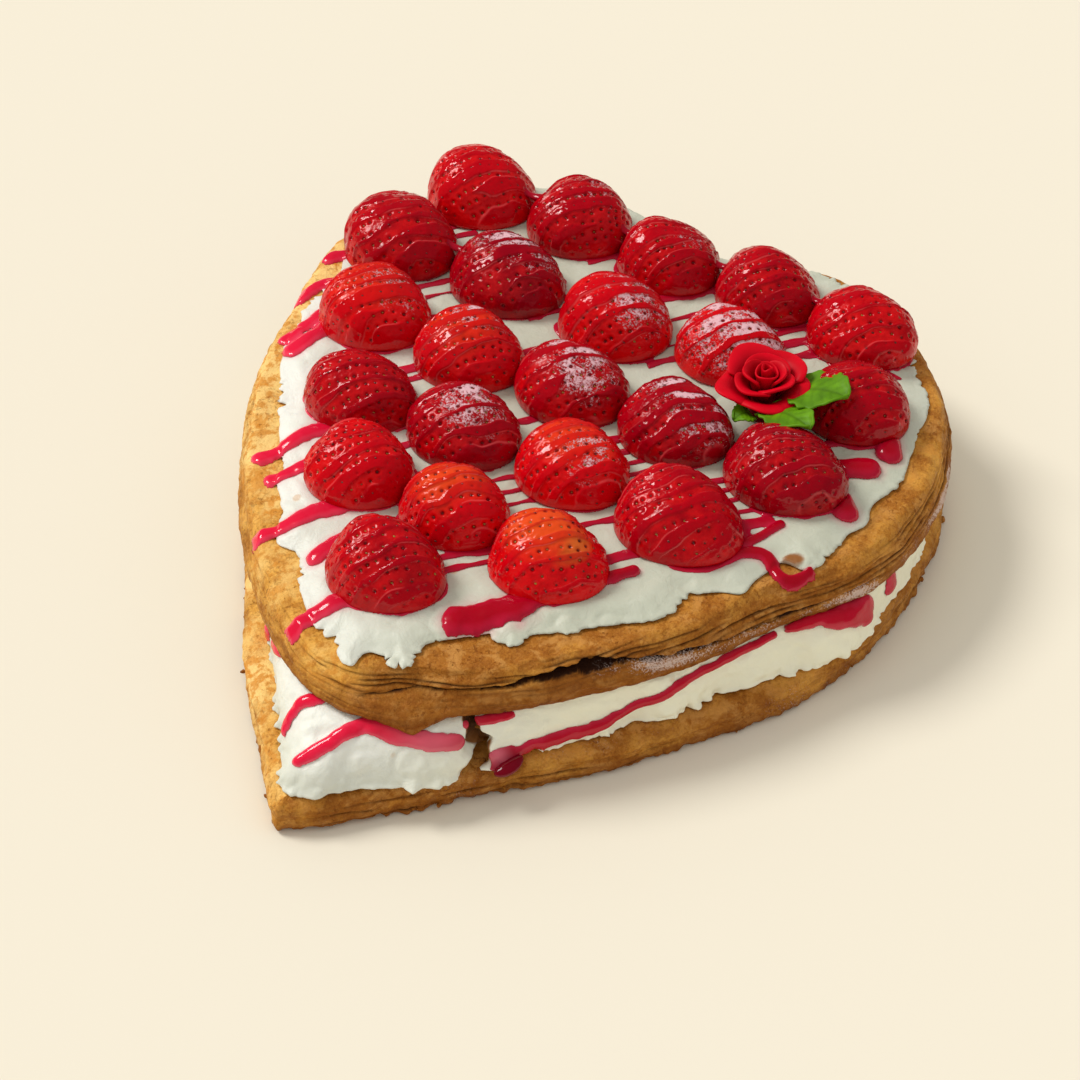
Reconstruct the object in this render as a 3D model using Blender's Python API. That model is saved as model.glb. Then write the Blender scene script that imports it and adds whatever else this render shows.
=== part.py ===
"""Heart-shaped strudel.

Two puff-pastry hearts with whipped cream spread between them and on top, halved
strawberries laid cut side down in rows, strawberry sauce trailed across, and a
sugar-paste rose with leaves in a hollow between the berries.

Sizes are in millimetres and are turned into metres when a mesh is made. +Z is up.
The origin is on the floor under the middle of the cake; +Y runs from the point of
the heart to its lobes.
"""

import bmesh
import bpy
import math
from mathutils import Vector, noise

MM = 0.001

# Layers, floor upwards
BOTTOM_PASTRY_TOP = 11.5
LOWER_CREAM_FOOT = 11.8
LOWER_CREAM_TOP = 27.7
TOP_PASTRY_FOOT = 28.0
TOP_PASTRY_TOP = 42.7
TOP_CREAM_FOOT = 43.0
TOP_CREAM_TOP = 46.0
BERRY_SEAT = 46.3

# Middle of the cake in the drawing below, moved onto the origin
MIDDLE = (1.8, 0.6)

# Points round each edge, counter-clockwise
BOTTOM_POINTS = 102
LOWER_CREAM_POINTS = 108
TOP_POINTS = 98
TOP_CREAM_POINTS = 116

# Hearts, as the points that their edges run through, from the tip round the right side
BOTTOM_EDGE = [
    (-3, -147), (3, -147), (13, -139), (29, -123), (55, -96), (76, -74), (95, -49), (109, -28),
    (119, -6), (124.5, 20), (125, 45), (120, 77), (108, 105), (88, 127), (64, 143), (40, 148),
    (18, 141), (5, 130), (-4, 130), (-18, 140), (-40, 144), (-64, 140), (-88, 124), (-107, 101),
    (-117, 75), (-119, 50), (-113, 20), (-99, -15), (-80, -50), (-66, -71), (-50, -95),
    (-36, -111), (-19, -129),
]
TOP_EDGE = [
    (-1, -117), (10, -117), (22, -112.5), (39, -100), (53, -88), (68, -72), (80, -58), (92, -40),
    (105, -14), (116, 2), (124, 20), (127, 46), (123, 72), (113, 96), (98, 116), (76, 134),
    (52, 145), (34, 144.5), (16, 138), (4, 131), (-4, 131), (-17, 137), (-36, 141), (-56, 141),
    (-78, 134), (-99, 120), (-115, 101), (-123, 76), (-122, 55), (-116, 31), (-107, -3),
    (-91, -35), (-73, -61), (-59, -78), (-45, -92), (-30, -104), (-14, -114),
]
# Ragged edge of the cream spread on top, with its tongues and bare bays
TOP_CREAM_EDGE = [
    (-1, -109.5), (4, -110), (7, -103), (13, -104.5), (18, -104), (21, -99), (19, -93), (23, -86),
    (32, -79), (43, -78), (46, -70), (55, -65), (60, -59), (68, -51), (75, -47), (78.5, -40),
    (78, -32), (86, -23), (94, -19), (95, -8), (98, -1), (107, 0), (110, 10), (110, 22), (113, 29),
    (111, 39), (114, 53), (111, 66), (109, 77), (104, 93), (92, 108), (76, 121), (56, 134),
    (38, 136), (20, 132.5), (7, 128), (-4, 127), (-16, 129), (-34, 133), (-54, 134), (-72, 129),
    (-88, 121),
    (-104, 108), (-111, 90), (-112, 72), (-110.5, 59), (-107, 49), (-109, 41), (-108, 31), (-103, 15), (-99, 3),
    (-90, -12), (-81, -24), (-70, -41), (-62, -54), (-53, -65), (-47, -76), (-40, -77), (-33, -84),
    (-24, -94), (-14, -102), (-6, -106),
]
# Edge of the cream between the pastries; the break in it shows the pastry below
LOWER_CREAM_EDGE = [
    (1, -142), (8, -140), (14, -133), (20, -128), (29, -123), (37, -118), (41.5, -113),
    (44, -106), (41, -102), (36, -100), (31, -94), (29, -89), (34, -87), (38, -91), (43, -97),
    (49, -99), (54, -91), (60, -82), (66, -75), (72, -70), (76, -60), (86, -54), (91, -43),
    (97, -34), (105, -25), (112, -13), (119, -8), (123, 0), (125, 14), (123.5, 24), (124, 44),
    (119, 70), (107, 97), (87, 119), (63, 135), (40, 140), (20, 135), (5, 123), (-5, 123),
    (-20, 133), (-40, 137), (-63, 132), (-85, 117), (-102, 95), (-111, 72), (-113, 50),
    (-107, 20), (-93, -15), (-75, -48), (-60, -69), (-45, -88), (-35, -99), (-27, -110),
    (-16, -123), (-7, -135), (-3, -141),
]
BREAK_AT, BREAK_RADIUS = (36, -93), 9

# Split in the side of the top pastry, and the corner of its lower leaf that sticks out
SPLIT_AT, SPLIT_LENGTH, SPLIT_DEPTH = (66, -74), 30, 5.5
FLAP_AT, FLAP_WIDTH, FLAP_REACH = (26, -112), 17, 6.5

# Strawberry halves: x, y, length, width, height
BERRY_ROWS = [
    [(-85, 113, 37.5, 35, 19), (-45, 115, 38, 35, 18.5), (-6.5, 112, 37, 32, 16.5),
     (32, 115, 37, 33, 17), (71, 111, 38, 34, 17)],
    [(-94, 72, 39, 35, 19), (-50, 73, 42, 35, 18.5), (-5.5, 72, 40, 36, 19),
     (36.5, 79, 40, 33, 16.5), (87, 74, 36, 32, 17)],
    [(-80.5, 34, 40, 35, 18), (-40, 31, 38.5, 34, 17.5), (-0.5, 34, 39, 34, 17),
     (39.5, 34, 39, 34, 17.5), (82, 32, 42, 34, 17)],
    [(-60, -6, 40, 33, 17), (-20, -4, 38.5, 33, 17), (20.5, -2, 39, 33, 17), (63, -6, 43, 36, 18)],
    [(-39.5, -38, 36.5, 33, 17), (-2, -39, 36.5, 32, 17), (36, -43, 38, 34, 17)],
    [(-6, -73.5, 39, 34, 18)],
]
SAUCE_DIRECTION = math.radians(50)
RIDGES = (-0.62, -0.2, 0.24, 0.64)  # across each berry, as shares of its half width
RIDGE_WIDTH, RIDGE_HEIGHT = 0.09, 0.9
ARC_POINTS = 7

# Runs of sauce: width, height over the cream, and the points each run follows
TOP_RUNS = [
    (4.4, 1.2, [(-110.8, 58), (-114, 49)]),
    (4.2, 1.2, [(-101, 44), (-106, 33), (-110, 25)]),
    (4.2, 1.2, [(-96, 11), (-99.5, 7)]),
    (4.6, 1.3, [(-65, -26), (-69, -38), (-72, -45)]),
    (3.8, 1.2, [(-61, -42), (-63, -54)]),
    (4.8, 1.3, [(-42, -59), (-45, -69), (-50, -81)]),
    (4.2, 1.2, [(-27, -66), (-30.5, -77)]),
    (4.6, 1.3, [(-15, -95), (-16.5, -109)]),
    (9.5, 1.6, [(22, -86), (24.5, -76), (31, -69), (37, -64)]),
    (5.0, 1.3, [(85.5, -14), (91, -5), (99, -5), (107, -3)]),
    (6.5, 1.4, [(102.5, 44), (106, 49)]),
    (6.5, 1.4, [(96, 15), (103, 24)]),
]
LOWER_RUNS = [
    (4.4, [(-12, -127), (-13, -120), (-9, -117.5)]),
    (4.6, [(1, -137), (8, -124), (18, -120.5), (29, -119), (36, -113)]),
    (5.2, [(52, -95), (61, -83.5), (70, -73), (84, -55)]),
    (5.6, [(117, -6), (121, 6), (124, 18)]),
    (4.0, [(-46, -79), (-51, -84)]),
    (3.8, [(-36, -91), (-40, -96)]),
]
LANE_SPACING, LANE_WIDTH, LANE_MARGIN = 25, 3.6, 1.4

# Rose: centre, and its petals as turn, spread, foot and rim radius, foot and rim height, curl
ROSE_AT, ROSE_FOOT = (59, 57), 46.9
PETAL_THICKNESS = 1.5
PETALS = [
    (208, 128, 4.7, 15.0, 5.0, 17.4, 2.0),
    (118, 126, 4.4, 14.2, 5.6, 18.0, 1.7),
    (30, 132, 4.2, 15.2, 5.3, 18.2, 2.1),
    (300, 124, 4.0, 14.6, 4.6, 17.0, 2.3),
    (255, 136, 3.4, 10.2, 7.2, 18.8, 1.2),
    (95, 170, 3.0, 9.4, 8.0, 19.6, 0.9),
    (352, 150, 2.6, 7.0, 9.0, 20.2, 0.7),
    (200, 176, 1.9, 4.4, 10.2, 20.9, 0.3),
]
# Leaves: foot, tip, half width, wave
LEAVES = [
    ((68.5, 61.5, 55.0), (88.5, 63.5, 66.0), 7.0, 0.8),
    ((67.0, 50.3, 55.2), (86.0, 43.8, 64.2), 6.2, 0.9),
    ((60.5, 48.2, 53.2), (57.0, 41.5, 54.5), 4.5, 0.6),
]
LEAF_THICKNESS = 1.1
COLOURS = {
    "pastry": ((0.55, 0.27, 0.07), 0.75),
    "cream": ((0.84, 0.85, 0.78), 0.55),
    "strawberry": ((0.45, 0.006, 0.012), 0.22),
    "rose_paste": ((0.55, 0.004, 0.03), 0.6),
    "leaf_paste": ((0.12, 0.26, 0.006), 0.6),
}


def clear_scene():
    for obj in list(bpy.data.objects):
        bpy.data.objects.remove(obj, do_unlink=True)


def make_material(slot):
    colour, roughness = COLOURS[slot]
    material = bpy.data.materials.new(slot)
    material.use_nodes = True
    shader = material.node_tree.nodes["Principled BSDF"]
    shader.inputs["Base Color"].default_value = (*colour, 1)
    shader.inputs["Roughness"].default_value = roughness
    material.diffuse_color = (*colour, 1)
    return material


def make_object(name, mesh_maker, material, collection):
    """mesh_maker fills a bmesh in millimetres."""
    work = bmesh.new()
    mesh_maker(work)
    bmesh.ops.recalc_face_normals(work, faces=work.faces[:])
    bmesh.ops.translate(work, vec=(-MIDDLE[0], -MIDDLE[1], 0), verts=work.verts[:])
    bmesh.ops.scale(work, vec=(MM, MM, MM), verts=work.verts[:])
    mesh = bpy.data.meshes.new(name)
    work.to_mesh(mesh)
    work.free()
    mesh.materials.append(material)
    obj = bpy.data.objects.new(name, mesh)
    collection.objects.link(obj)
    return obj


def smooth_loop(knots, count):
    """Even points round a smooth closed curve through the knots."""
    points = [Vector((x, y)) for x, y in knots]
    fine = []
    for i, b in enumerate(points):
        a, c, d = points[i - 1], points[(i + 1) % len(points)], points[(i + 2) % len(points)]
        for step in range(8):
            t = step / 8
            fine.append(
                0.5 * (2 * b + (c - a) * t + (2 * a - 5 * b + 4 * c - d) * t * t
                       + (3 * b - a - 3 * c + d) * t ** 3)
            )
    lengths = [0.0]
    for i in range(len(fine)):
        lengths.append(lengths[-1] + (fine[(i + 1) % len(fine)] - fine[i]).length)
    loop, i = [], 0
    for k in range(count):
        want = lengths[-1] * k / count
        while lengths[i + 1] < want:
            i += 1
        share = (want - lengths[i]) / (lengths[i + 1] - lengths[i])
        loop.append(fine[i].lerp(fine[(i + 1) % len(fine)], share))
    return loop


def smooth_path(knots, steps):
    """Points along a smooth open curve through the knots."""
    points = [Vector(k) for k in knots]
    points = [2 * points[0] - points[1]] + points + [2 * points[-1] - points[-2]]
    path = []
    for i in range(1, len(points) - 2):
        a, b, c, d = points[i - 1:i + 3]
        for step in range(steps):
            t = step / steps
            path.append(
                0.5 * (2 * b + (c - a) * t + (2 * a - 5 * b + 4 * c - d) * t * t
                       + (3 * b - a - 3 * c + d) * t ** 3)
            )
    return path + [points[-2]]


def inward(loop):
    """Unit vectors pointing into the shape from each of its points."""
    vectors = []
    for i in range(len(loop)):
        along = loop[(i + 1) % len(loop)] - loop[i - 1]
        vectors.append(Vector((-along.y, along.x)).normalized())
    return vectors


def uneven(point, size, reach, seed):
    return size * noise.noise(Vector((point.x / reach, point.y / reach, seed)))


def near(point, centre, reach):
    """1 at the centre, falling smoothly to nothing."""
    return math.exp(-((point - Vector(centre)).length / reach) ** 2)


def skin_rings(work, rings):
    """Closed body through rings of equal count, lowest first."""
    count = len(rings[0])
    rows = [[work.verts.new(point) for point in ring] for ring in rings]
    work.faces.new(list(reversed(rows[0])))
    work.faces.new(rows[-1])
    for low, high in zip(rows, rows[1:]):
        for i in range(count):
            j = (i + 1) % count
            work.faces.new((low[i], low[j], high[j], high[i]))


def ring(loop, vectors, inset, height):
    """inset and height are numbers, or functions of a point of the loop."""
    points = []
    for point, vector in zip(loop, vectors):
        back = inset(point) if callable(inset) else inset
        up = height(point) if callable(height) else height
        place = point + vector * back
        points.append((place.x, place.y, up))
    return points


def bottom_pastry(work):
    loop = smooth_loop(BOTTOM_EDGE, BOTTOM_POINTS)
    vectors = inward(loop)
    skin_rings(work, [
        ring(loop, vectors, 3.5, 0),
        ring(loop, vectors, lambda p: 0.9 + uneven(p, 0.9, 9, 1), 1.3),
        ring(loop, vectors, lambda p: uneven(p, 0.9, 14, 2), lambda p: 3.6 + uneven(p, 1, 17, 3)),
        ring(loop, vectors, lambda p: 0.9 + uneven(p, 1.0, 9, 4), lambda p: 5.6 + uneven(p, 1, 17, 5)),
        ring(loop, vectors, lambda p: 0.5 + uneven(p, 0.9, 11, 6), lambda p: 8.0 + uneven(p, 1, 15, 7)),
        ring(loop, vectors, lambda p: 2.4 + uneven(p, 0.8, 10, 8), lambda p: 10.3 + uneven(p, 1, 13, 9)),
        ring(loop, vectors, 6.5, BOTTOM_PASTRY_TOP),
    ])


def flap(point):
    return FLAP_REACH * near(point, FLAP_AT, FLAP_WIDTH)


def split(point):
    return SPLIT_DEPTH * near(point, SPLIT_AT, SPLIT_LENGTH)


def top_pastry(work):
    loop = smooth_loop(TOP_EDGE, TOP_POINTS)
    vectors = inward(loop)
    skin_rings(work, [
        ring(loop, vectors, 5.5, TOP_PASTRY_FOOT),
        ring(loop, vectors, lambda p: 0.8 + uneven(p, 0.8, 10, 11), 28.6),
        ring(loop, vectors, lambda p: uneven(p, 0.8, 13, 12), lambda p: 30.8 + uneven(p, 0.9, 19, 13)),
        ring(loop, vectors, lambda p: 0.9 + 0.4 * flap(p) + uneven(p, 0.8, 11, 14),
             lambda p: 33.2 - 0.1 * split(p)),
        ring(loop, vectors, lambda p: 2.2 + 0.9 * flap(p) + split(p), 34.2),
        ring(loop, vectors, lambda p: 1.7 + flap(p) + uneven(p, 0.8, 10, 15),
             lambda p: 35.2 + 0.22 * split(p)),
        ring(loop, vectors, lambda p: 1.3 + flap(p) + uneven(p, 0.9, 12, 16),
             lambda p: 38.0 + uneven(p, 0.8, 15, 17)),
        ring(loop, vectors, lambda p: 3.2 + flap(p) + uneven(p, 0.9, 11, 18),
             lambda p: 41.4 + uneven(p, 0.7, 15, 19)),
        ring(loop, vectors, lambda p: 6.0 + flap(p), TOP_PASTRY_TOP),
    ])


def reach_in(loop, angle):
    """Distance from the middle of the heart to its edge in one direction."""
    middle, ray = Vector((0, 20)), Vector((math.cos(angle), math.sin(angle)))
    far = 0
    for i in range(len(loop)):
        a, b = loop[i - 1] - middle, loop[i] - middle
        side_a, side_b = ray.x * a.y - ray.y * a.x, ray.x * b.y - ray.y * b.x
        if side_a * side_b <= 0 and side_a != side_b:
            hit = a.lerp(b, side_a / (side_a - side_b))
            far = max(far, hit.dot(ray))
    return far


def ledge_height(share):
    """Height of the lower cream from its edge (0) to the top pastry's foot (1)."""
    return 14.6 + (LOWER_CREAM_TOP - 14.6) * (1 - (1 - min(max(share, 0), 1)) ** 1.7)


def lower_cream(work):
    loop = smooth_loop(LOWER_CREAM_EDGE, LOWER_CREAM_POINTS)
    vectors = inward(loop)
    top = smooth_loop(TOP_EDGE, TOP_POINTS)
    middle = Vector((0, 20))
    seats = []
    for point in loop:
        away = point - middle
        angle = math.atan2(away.y, away.x)
        under = reach_in(top, angle) - 3.5 - 10 * near(point, BREAK_AT, BREAK_RADIUS)
        seats.append(middle + away.normalized() * min(under, away.length + 1.5))
    rings = [
        ring(loop, vectors, 1.4, LOWER_CREAM_FOOT),
        ring(loop, vectors, lambda p: uneven(p, 0.9, 5, 21), 13.0),
        ring(loop, vectors, lambda p: 0.7 + uneven(p, 0.9, 5, 21), 14.6),
    ]
    for share in (0.35, 0.7, 1):
        rings.append([
            (*(point + vector * 0.7).lerp(seat, share), ledge_height(share))
            for point, vector, seat in zip(loop, vectors, seats)
        ])
    skin_rings(work, rings)


def top_cream(work):
    loop = smooth_loop(TOP_CREAM_EDGE, TOP_CREAM_POINTS)
    vectors = inward(loop)
    skin_rings(work, [
        ring(loop, vectors, lambda p: 0.7 + uneven(p, 0.8, 4, 31), TOP_CREAM_FOOT),
        ring(loop, vectors, lambda p: uneven(p, 0.8, 4, 31), 44.2),
        ring(loop, vectors, lambda p: 0.5 + uneven(p, 0.8, 4, 31), 45.2),
        ring(loop, vectors, 1.9, TOP_CREAM_TOP),
    ])


def berry(work, x, y, length, width, height):
    """Half a strawberry as a fan of arcs; the arcs on each ridge of sauce stand proud."""
    flow = Vector((math.cos(SAUCE_DIRECTION) / length, math.sin(SAUCE_DIRECTION) / width)).normalized()
    cross = Vector((-flow.y, flow.x))
    stations = []
    for at in RIDGES:
        stations += [(at - RIDGE_WIDTH, 0), (at - 0.4 * RIDGE_WIDTH, RIDGE_HEIGHT),
                     (at + RIDGE_WIDTH, 0)]
    stations = [(-0.9, 0)] + stations + [(0.9, 0)]

    def place(v, turn, lift):
        across = math.copysign(abs(v) ** 0.92, v)
        radius = math.sqrt(max(1 - across * across, 0))
        flat = flow * radius * math.cos(turn) + cross * across
        flat.y *= 1 - 0.1 * flat.x
        rise = radius * math.sin(turn)
        rise = rise ** 0.85 if rise > 0 else 0
        point = Vector((flat.x * length / 2, flat.y * width / 2, rise * height))
        fade = min(1, 3 * math.sin(turn)) if turn > 0 else 0
        point += Vector((flat.x, flat.y, max(rise, 0.1))).normalized() * lift * fade
        return (x + point.x, y + point.y, BERRY_SEAT + max(point.z, 0))

    first, last = work.verts.new(place(-1, 0, 0)), work.verts.new(place(1, 0, 0))
    arcs = [
        [work.verts.new(place(v, math.pi * i / (ARC_POINTS - 1), lift)) for i in range(ARC_POINTS)]
        for v, lift in stations
    ]
    for one, two in zip(arcs, arcs[1:]):
        for i in range(ARC_POINTS - 1):
            work.faces.new((one[i], one[i + 1], two[i + 1], two[i]))
    for i in range(ARC_POINTS - 1):
        work.faces.new((first, arcs[0][i + 1], arcs[0][i]))
        work.faces.new((last, arcs[-1][i], arcs[-1][i + 1]))
    work.faces.new([first] + [a[0] for a in arcs] + [last] + [a[-1] for a in reversed(arcs)])


def sauce_run(work, path, width, foot, crown):
    """Flat-footed bead along a path; foot and crown give its heights at a point."""
    rows = []
    for i, point in enumerate(path):
        along = (path[min(i + 1, len(path) - 1)] - path[max(i - 1, 0)]).normalized()
        side = Vector((-along.y, along.x))
        end = min(i, len(path) - 1 - i)
        half = width / 2 * (0.55 if end == 0 else 0.92 + 0.12 * math.sin(2.1 * i))
        shift = along * (-1 if i == 0 else 1) * (width * 0.22 if end == 0 else 0)
        low, high = foot(point), crown(point) - (0.5 if end == 0 else 0)
        rows.append([
            work.verts.new((*(point + shift + side * half * out), low + (high - low) * up))
            for out, up in ((-1, 0), (-0.85, 0.72), (-0.35, 1), (0.35, 1), (0.85, 0.72), (1, 0))
        ])
    for one, two in zip(rows, rows[1:]):
        for i in range(6):
            j = (i + 1) % 6
            work.faces.new((one[i], one[j], two[j], two[i]))
    work.faces.new(rows[0])
    work.faces.new(list(reversed(rows[-1])))


def in_a_berry(point, margin):
    for x, y, length, width, _ in (b for row in BERRY_ROWS for b in row):
        if ((point.x - x) / (length / 2 + margin)) ** 2 + ((point.y - y) / (width / 2 + margin)) ** 2 < 1:
            return True
    return (point - Vector(ROSE_AT)).length < 9


def lanes_of_sauce():
    """The runs that show on the cream between the berries."""
    edge = smooth_loop(TOP_CREAM_EDGE, TOP_CREAM_POINTS)
    flow = Vector((math.cos(SAUCE_DIRECTION), math.sin(SAUCE_DIRECTION)))
    cross = Vector((-flow.y, flow.x))
    middle = Vector((0, 20))
    lanes = []
    for line in range(-5, 6):
        lane = []
        for step in range(-75, 76):
            point = flow * step * 2 + cross * (line * LANE_SPACING + 6) + Vector((0, 15))
            away = point - middle
            inside = away.length < reach_in(edge, math.atan2(away.y, away.x)) - 6
            if inside and not in_a_berry(point, LANE_MARGIN + LANE_WIDTH / 2):
                lane.append(point)
            else:
                if len(lane) > 4:
                    lanes.append([lane[0], lane[len(lane) // 2], lane[-1]])
                lane = []
    return lanes


def rose_core(work):
    rings = []
    for radius, height in ((4.5, 0), (6.0, 4), (7.0, 10), (5.0, 16), (2.2, 19.5)):
        rings.append([
            (ROSE_AT[0] + radius * math.cos(a * math.tau / 12),
             ROSE_AT[1] + radius * math.sin(a * math.tau / 12), ROSE_FOOT + height)
            for a in range(12)
        ])
    skin_rings(work, rings)


def petal(work, turn, spread, foot_radius, rim_radius, foot, rim, curl):
    """Curved sheet, thin at the rim, that opens outwards and rolls over at its rim."""
    across, up = 6, 4

    def place(s, t, inner):
        angle = math.radians(turn + spread / 2 * s)
        radius = foot_radius + (rim_radius - foot_radius) * t ** 1.3 + curl * max(t - 0.7, 0) / 0.3
        height = foot + (rim - foot) * t ** 0.75 - curl * 0.8 * max(t - 0.8, 0) / 0.2
        height -= (rim - foot) * 0.1 * s ** 4 * t
        radius *= 1 - 0.2 * s ** 4 * t
        if inner:
            radius -= PETAL_THICKNESS * (1 - 0.35 * t)
            height += 0.3 * t
        radius = max(radius, 0.4)
        return (ROSE_AT[0] + radius * math.cos(angle), ROSE_AT[1] + radius * math.sin(angle),
                ROSE_FOOT + height)

    sheets = [
        [[work.verts.new(place(2 * i / across - 1, j / up, inner)) for i in range(across + 1)]
         for j in range(up + 1)]
        for inner in (False, True)
    ]
    outer, inner = sheets
    for j in range(up):
        for i in range(across):
            work.faces.new((outer[j][i], outer[j][i + 1], outer[j + 1][i + 1], outer[j + 1][i]))
            work.faces.new((inner[j][i], inner[j + 1][i], inner[j + 1][i + 1], inner[j][i + 1]))
        work.faces.new((outer[j][0], outer[j + 1][0], inner[j + 1][0], inner[j][0]))
        work.faces.new((outer[j][-1], inner[j][-1], inner[j + 1][-1], outer[j + 1][-1]))
    for i in range(across):
        work.faces.new((outer[0][i], inner[0][i], inner[0][i + 1], outer[0][i + 1]))
        work.faces.new((outer[-1][i], outer[-1][i + 1], inner[-1][i + 1], inner[-1][i]))


def leaf(work, foot, tip, half_width, wave):
    """Pointed leaf of even thickness; both faces are split alike."""
    foot, tip = Vector(foot), Vector(tip)
    along = tip - foot
    side = Vector((-along.y, along.x, 0)).normalized()
    steps, half = 7, 2

    def place(i, k, under):
        t, s = i / steps, k / half
        wide = half_width * (0.1 + 0.9 * math.sin(math.pi * min(t * 0.86 + 0.14, 1)) ** 0.8)
        if i == steps:
            wide = 0.5
        lift = wave * math.sin(2.6 * math.pi * t + (0.9 if s > 0 else 0)) * s * s
        lift += 0.8 * s * s + 2.2 * math.sin(math.pi * t)
        return foot + along * t + side * wide * s + Vector((0, 0, lift - (LEAF_THICKNESS if under else 0)))

    faces = []
    for under in (False, True):
        faces.append([[work.verts.new(place(i, k, under)) for k in range(-half, half + 1)]
                      for i in range(steps + 1)])
    upper, lower = faces
    for i in range(steps):
        for k in range(2 * half):
            a, b, c, d = (i, k), (i + 1, k), (i + 1, k + 1), (i, k + 1)
            for corners in ((a, b, c), (a, c, d)):
                work.faces.new([upper[m][n] for m, n in corners])
                work.faces.new([lower[m][n] for m, n in reversed(corners)])
        work.faces.new((upper[i][0], lower[i][0], lower[i + 1][0], upper[i + 1][0]))
        work.faces.new((upper[i][-1], upper[i + 1][-1], lower[i + 1][-1], lower[i][-1]))
    for k in range(2 * half):
        work.faces.new((upper[0][k], upper[0][k + 1], lower[0][k + 1], lower[0][k]))
        work.faces.new((upper[-1][k], lower[-1][k], lower[-1][k + 1], upper[-1][k + 1]))


def fuse(body, extras, solver):
    """Joins every object of the collection into the body."""
    union = body.modifiers.new("fused", "BOOLEAN")
    union.operation = "UNION"
    union.operand_type = "COLLECTION"
    union.collection = extras
    union.solver = solver
    depsgraph = bpy.context.evaluated_depsgraph_get()
    mesh = bpy.data.meshes.new_from_object(body.evaluated_get(depsgraph))
    body.modifiers.clear()
    body.data = mesh
    for obj in list(extras.objects):
        bpy.data.objects.remove(obj, do_unlink=True)


def extras_collection(name):
    collection = bpy.data.collections.new(name)
    bpy.context.scene.collection.children.link(collection)
    return collection


def build_lower_cream(material, cake):
    body = make_object("lower_cream", lower_cream, material, cake)
    runs = extras_collection("lower_runs")
    edge = smooth_loop(LOWER_CREAM_EDGE, LOWER_CREAM_POINTS)
    top = smooth_loop(TOP_EDGE, TOP_POINTS)
    middle = Vector((0, 20))

    def surface(point):
        away = point - middle
        angle = math.atan2(away.y, away.x)
        outer, inner = reach_in(edge, angle), reach_in(top, angle) - 3.5
        share = (outer - away.length) / max(outer - inner, 1)
        return min(ledge_height(share), 24.5)

    for width, knots in LOWER_RUNS:
        path = smooth_path(knots, 3)
        make_object(
            "run",
            lambda work, p=path, w=width: sauce_run(
                work, p, w, lambda q: max(surface(q) - 3.2, LOWER_CREAM_FOOT + 0.3),
                lambda q: surface(q) + 1.3),
            material, runs)
    fuse(body, runs, "MANIFOLD")


def build_top_cream(material, cake):
    body = make_object("top_cream", top_cream, material, cake)
    runs = extras_collection("top_runs")
    for width, height, knots in TOP_RUNS:
        path = smooth_path(knots, 3)
        make_object(
            "run",
            lambda work, p=path, w=width, h=height: sauce_run(
                work, p, w, lambda q: TOP_CREAM_FOOT + 0.2, lambda q: TOP_CREAM_TOP + h),
            material, runs)
    for path in lanes_of_sauce():
        make_object(
            "lane",
            lambda work, p=path: sauce_run(work, p, LANE_WIDTH, lambda q: TOP_CREAM_FOOT + 0.8,
                                           lambda q: TOP_CREAM_TOP + 0.8),
            material, runs)
    fuse(body, runs, "MANIFOLD")


def build_rose(material, cake):
    body = make_object("rose", rose_core, material, cake)
    petals = extras_collection("petals")
    for sizes in PETALS:
        make_object("petal", lambda work, s=sizes: petal(work, *s), material, petals)
    fuse(body, petals, "MANIFOLD")


def main():
    clear_scene()
    materials = {slot: make_material(slot) for slot in COLOURS}
    cake = bpy.data.collections.new("heart_strudel")
    bpy.context.scene.collection.children.link(cake)
    make_object("bottom_pastry", bottom_pastry, materials["pastry"], cake)
    build_lower_cream(materials["cream"], cake)
    make_object("top_pastry", top_pastry, materials["pastry"], cake)
    build_top_cream(materials["cream"], cake)
    number = 0
    for row in BERRY_ROWS:
        for sizes in row:
            number += 1
            make_object(f"strawberry_{number:02d}", lambda work, s=sizes: berry(work, *s),
                        materials["strawberry"], cake)
    build_rose(materials["rose_paste"], cake)
    for number, sizes in enumerate(LEAVES, 1):
        make_object(f"leaf_{number}", lambda work, s=sizes: leaf(work, *s),
                    materials["leaf_paste"], cake)


main()
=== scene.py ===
import bmesh
import bpy
import math
import numpy as np
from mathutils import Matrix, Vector, geometry, kdtree
from mathutils.bvhtree import BVHTree


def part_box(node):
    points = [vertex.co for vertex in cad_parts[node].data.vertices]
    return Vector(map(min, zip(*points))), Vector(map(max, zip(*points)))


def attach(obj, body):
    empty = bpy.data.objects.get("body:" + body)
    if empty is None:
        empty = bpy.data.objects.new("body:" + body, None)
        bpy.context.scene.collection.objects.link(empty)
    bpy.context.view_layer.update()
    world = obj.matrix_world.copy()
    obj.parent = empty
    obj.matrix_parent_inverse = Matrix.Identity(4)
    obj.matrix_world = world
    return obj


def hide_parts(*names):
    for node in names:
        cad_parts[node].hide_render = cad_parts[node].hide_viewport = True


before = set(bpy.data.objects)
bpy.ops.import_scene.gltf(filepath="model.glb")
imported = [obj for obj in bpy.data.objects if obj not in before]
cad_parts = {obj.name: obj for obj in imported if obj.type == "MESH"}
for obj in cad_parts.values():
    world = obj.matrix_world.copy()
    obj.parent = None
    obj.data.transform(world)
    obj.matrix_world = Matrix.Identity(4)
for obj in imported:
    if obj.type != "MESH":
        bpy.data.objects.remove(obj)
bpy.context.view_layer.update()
mm = 0.001  # everything below is thought out in millimetres

heartMiddle = np.array([-1.8, 19.4])  # every edge is seen whole from here
drawingShift = np.array([1.8, 0.6])  # how far the drawn places lie off the frame's own
leftWay = np.array([-0.858, -0.5135])  # to the camera's left, where the light comes from
awayWay = np.array([-0.515, 0.857])  # away from the camera

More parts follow.
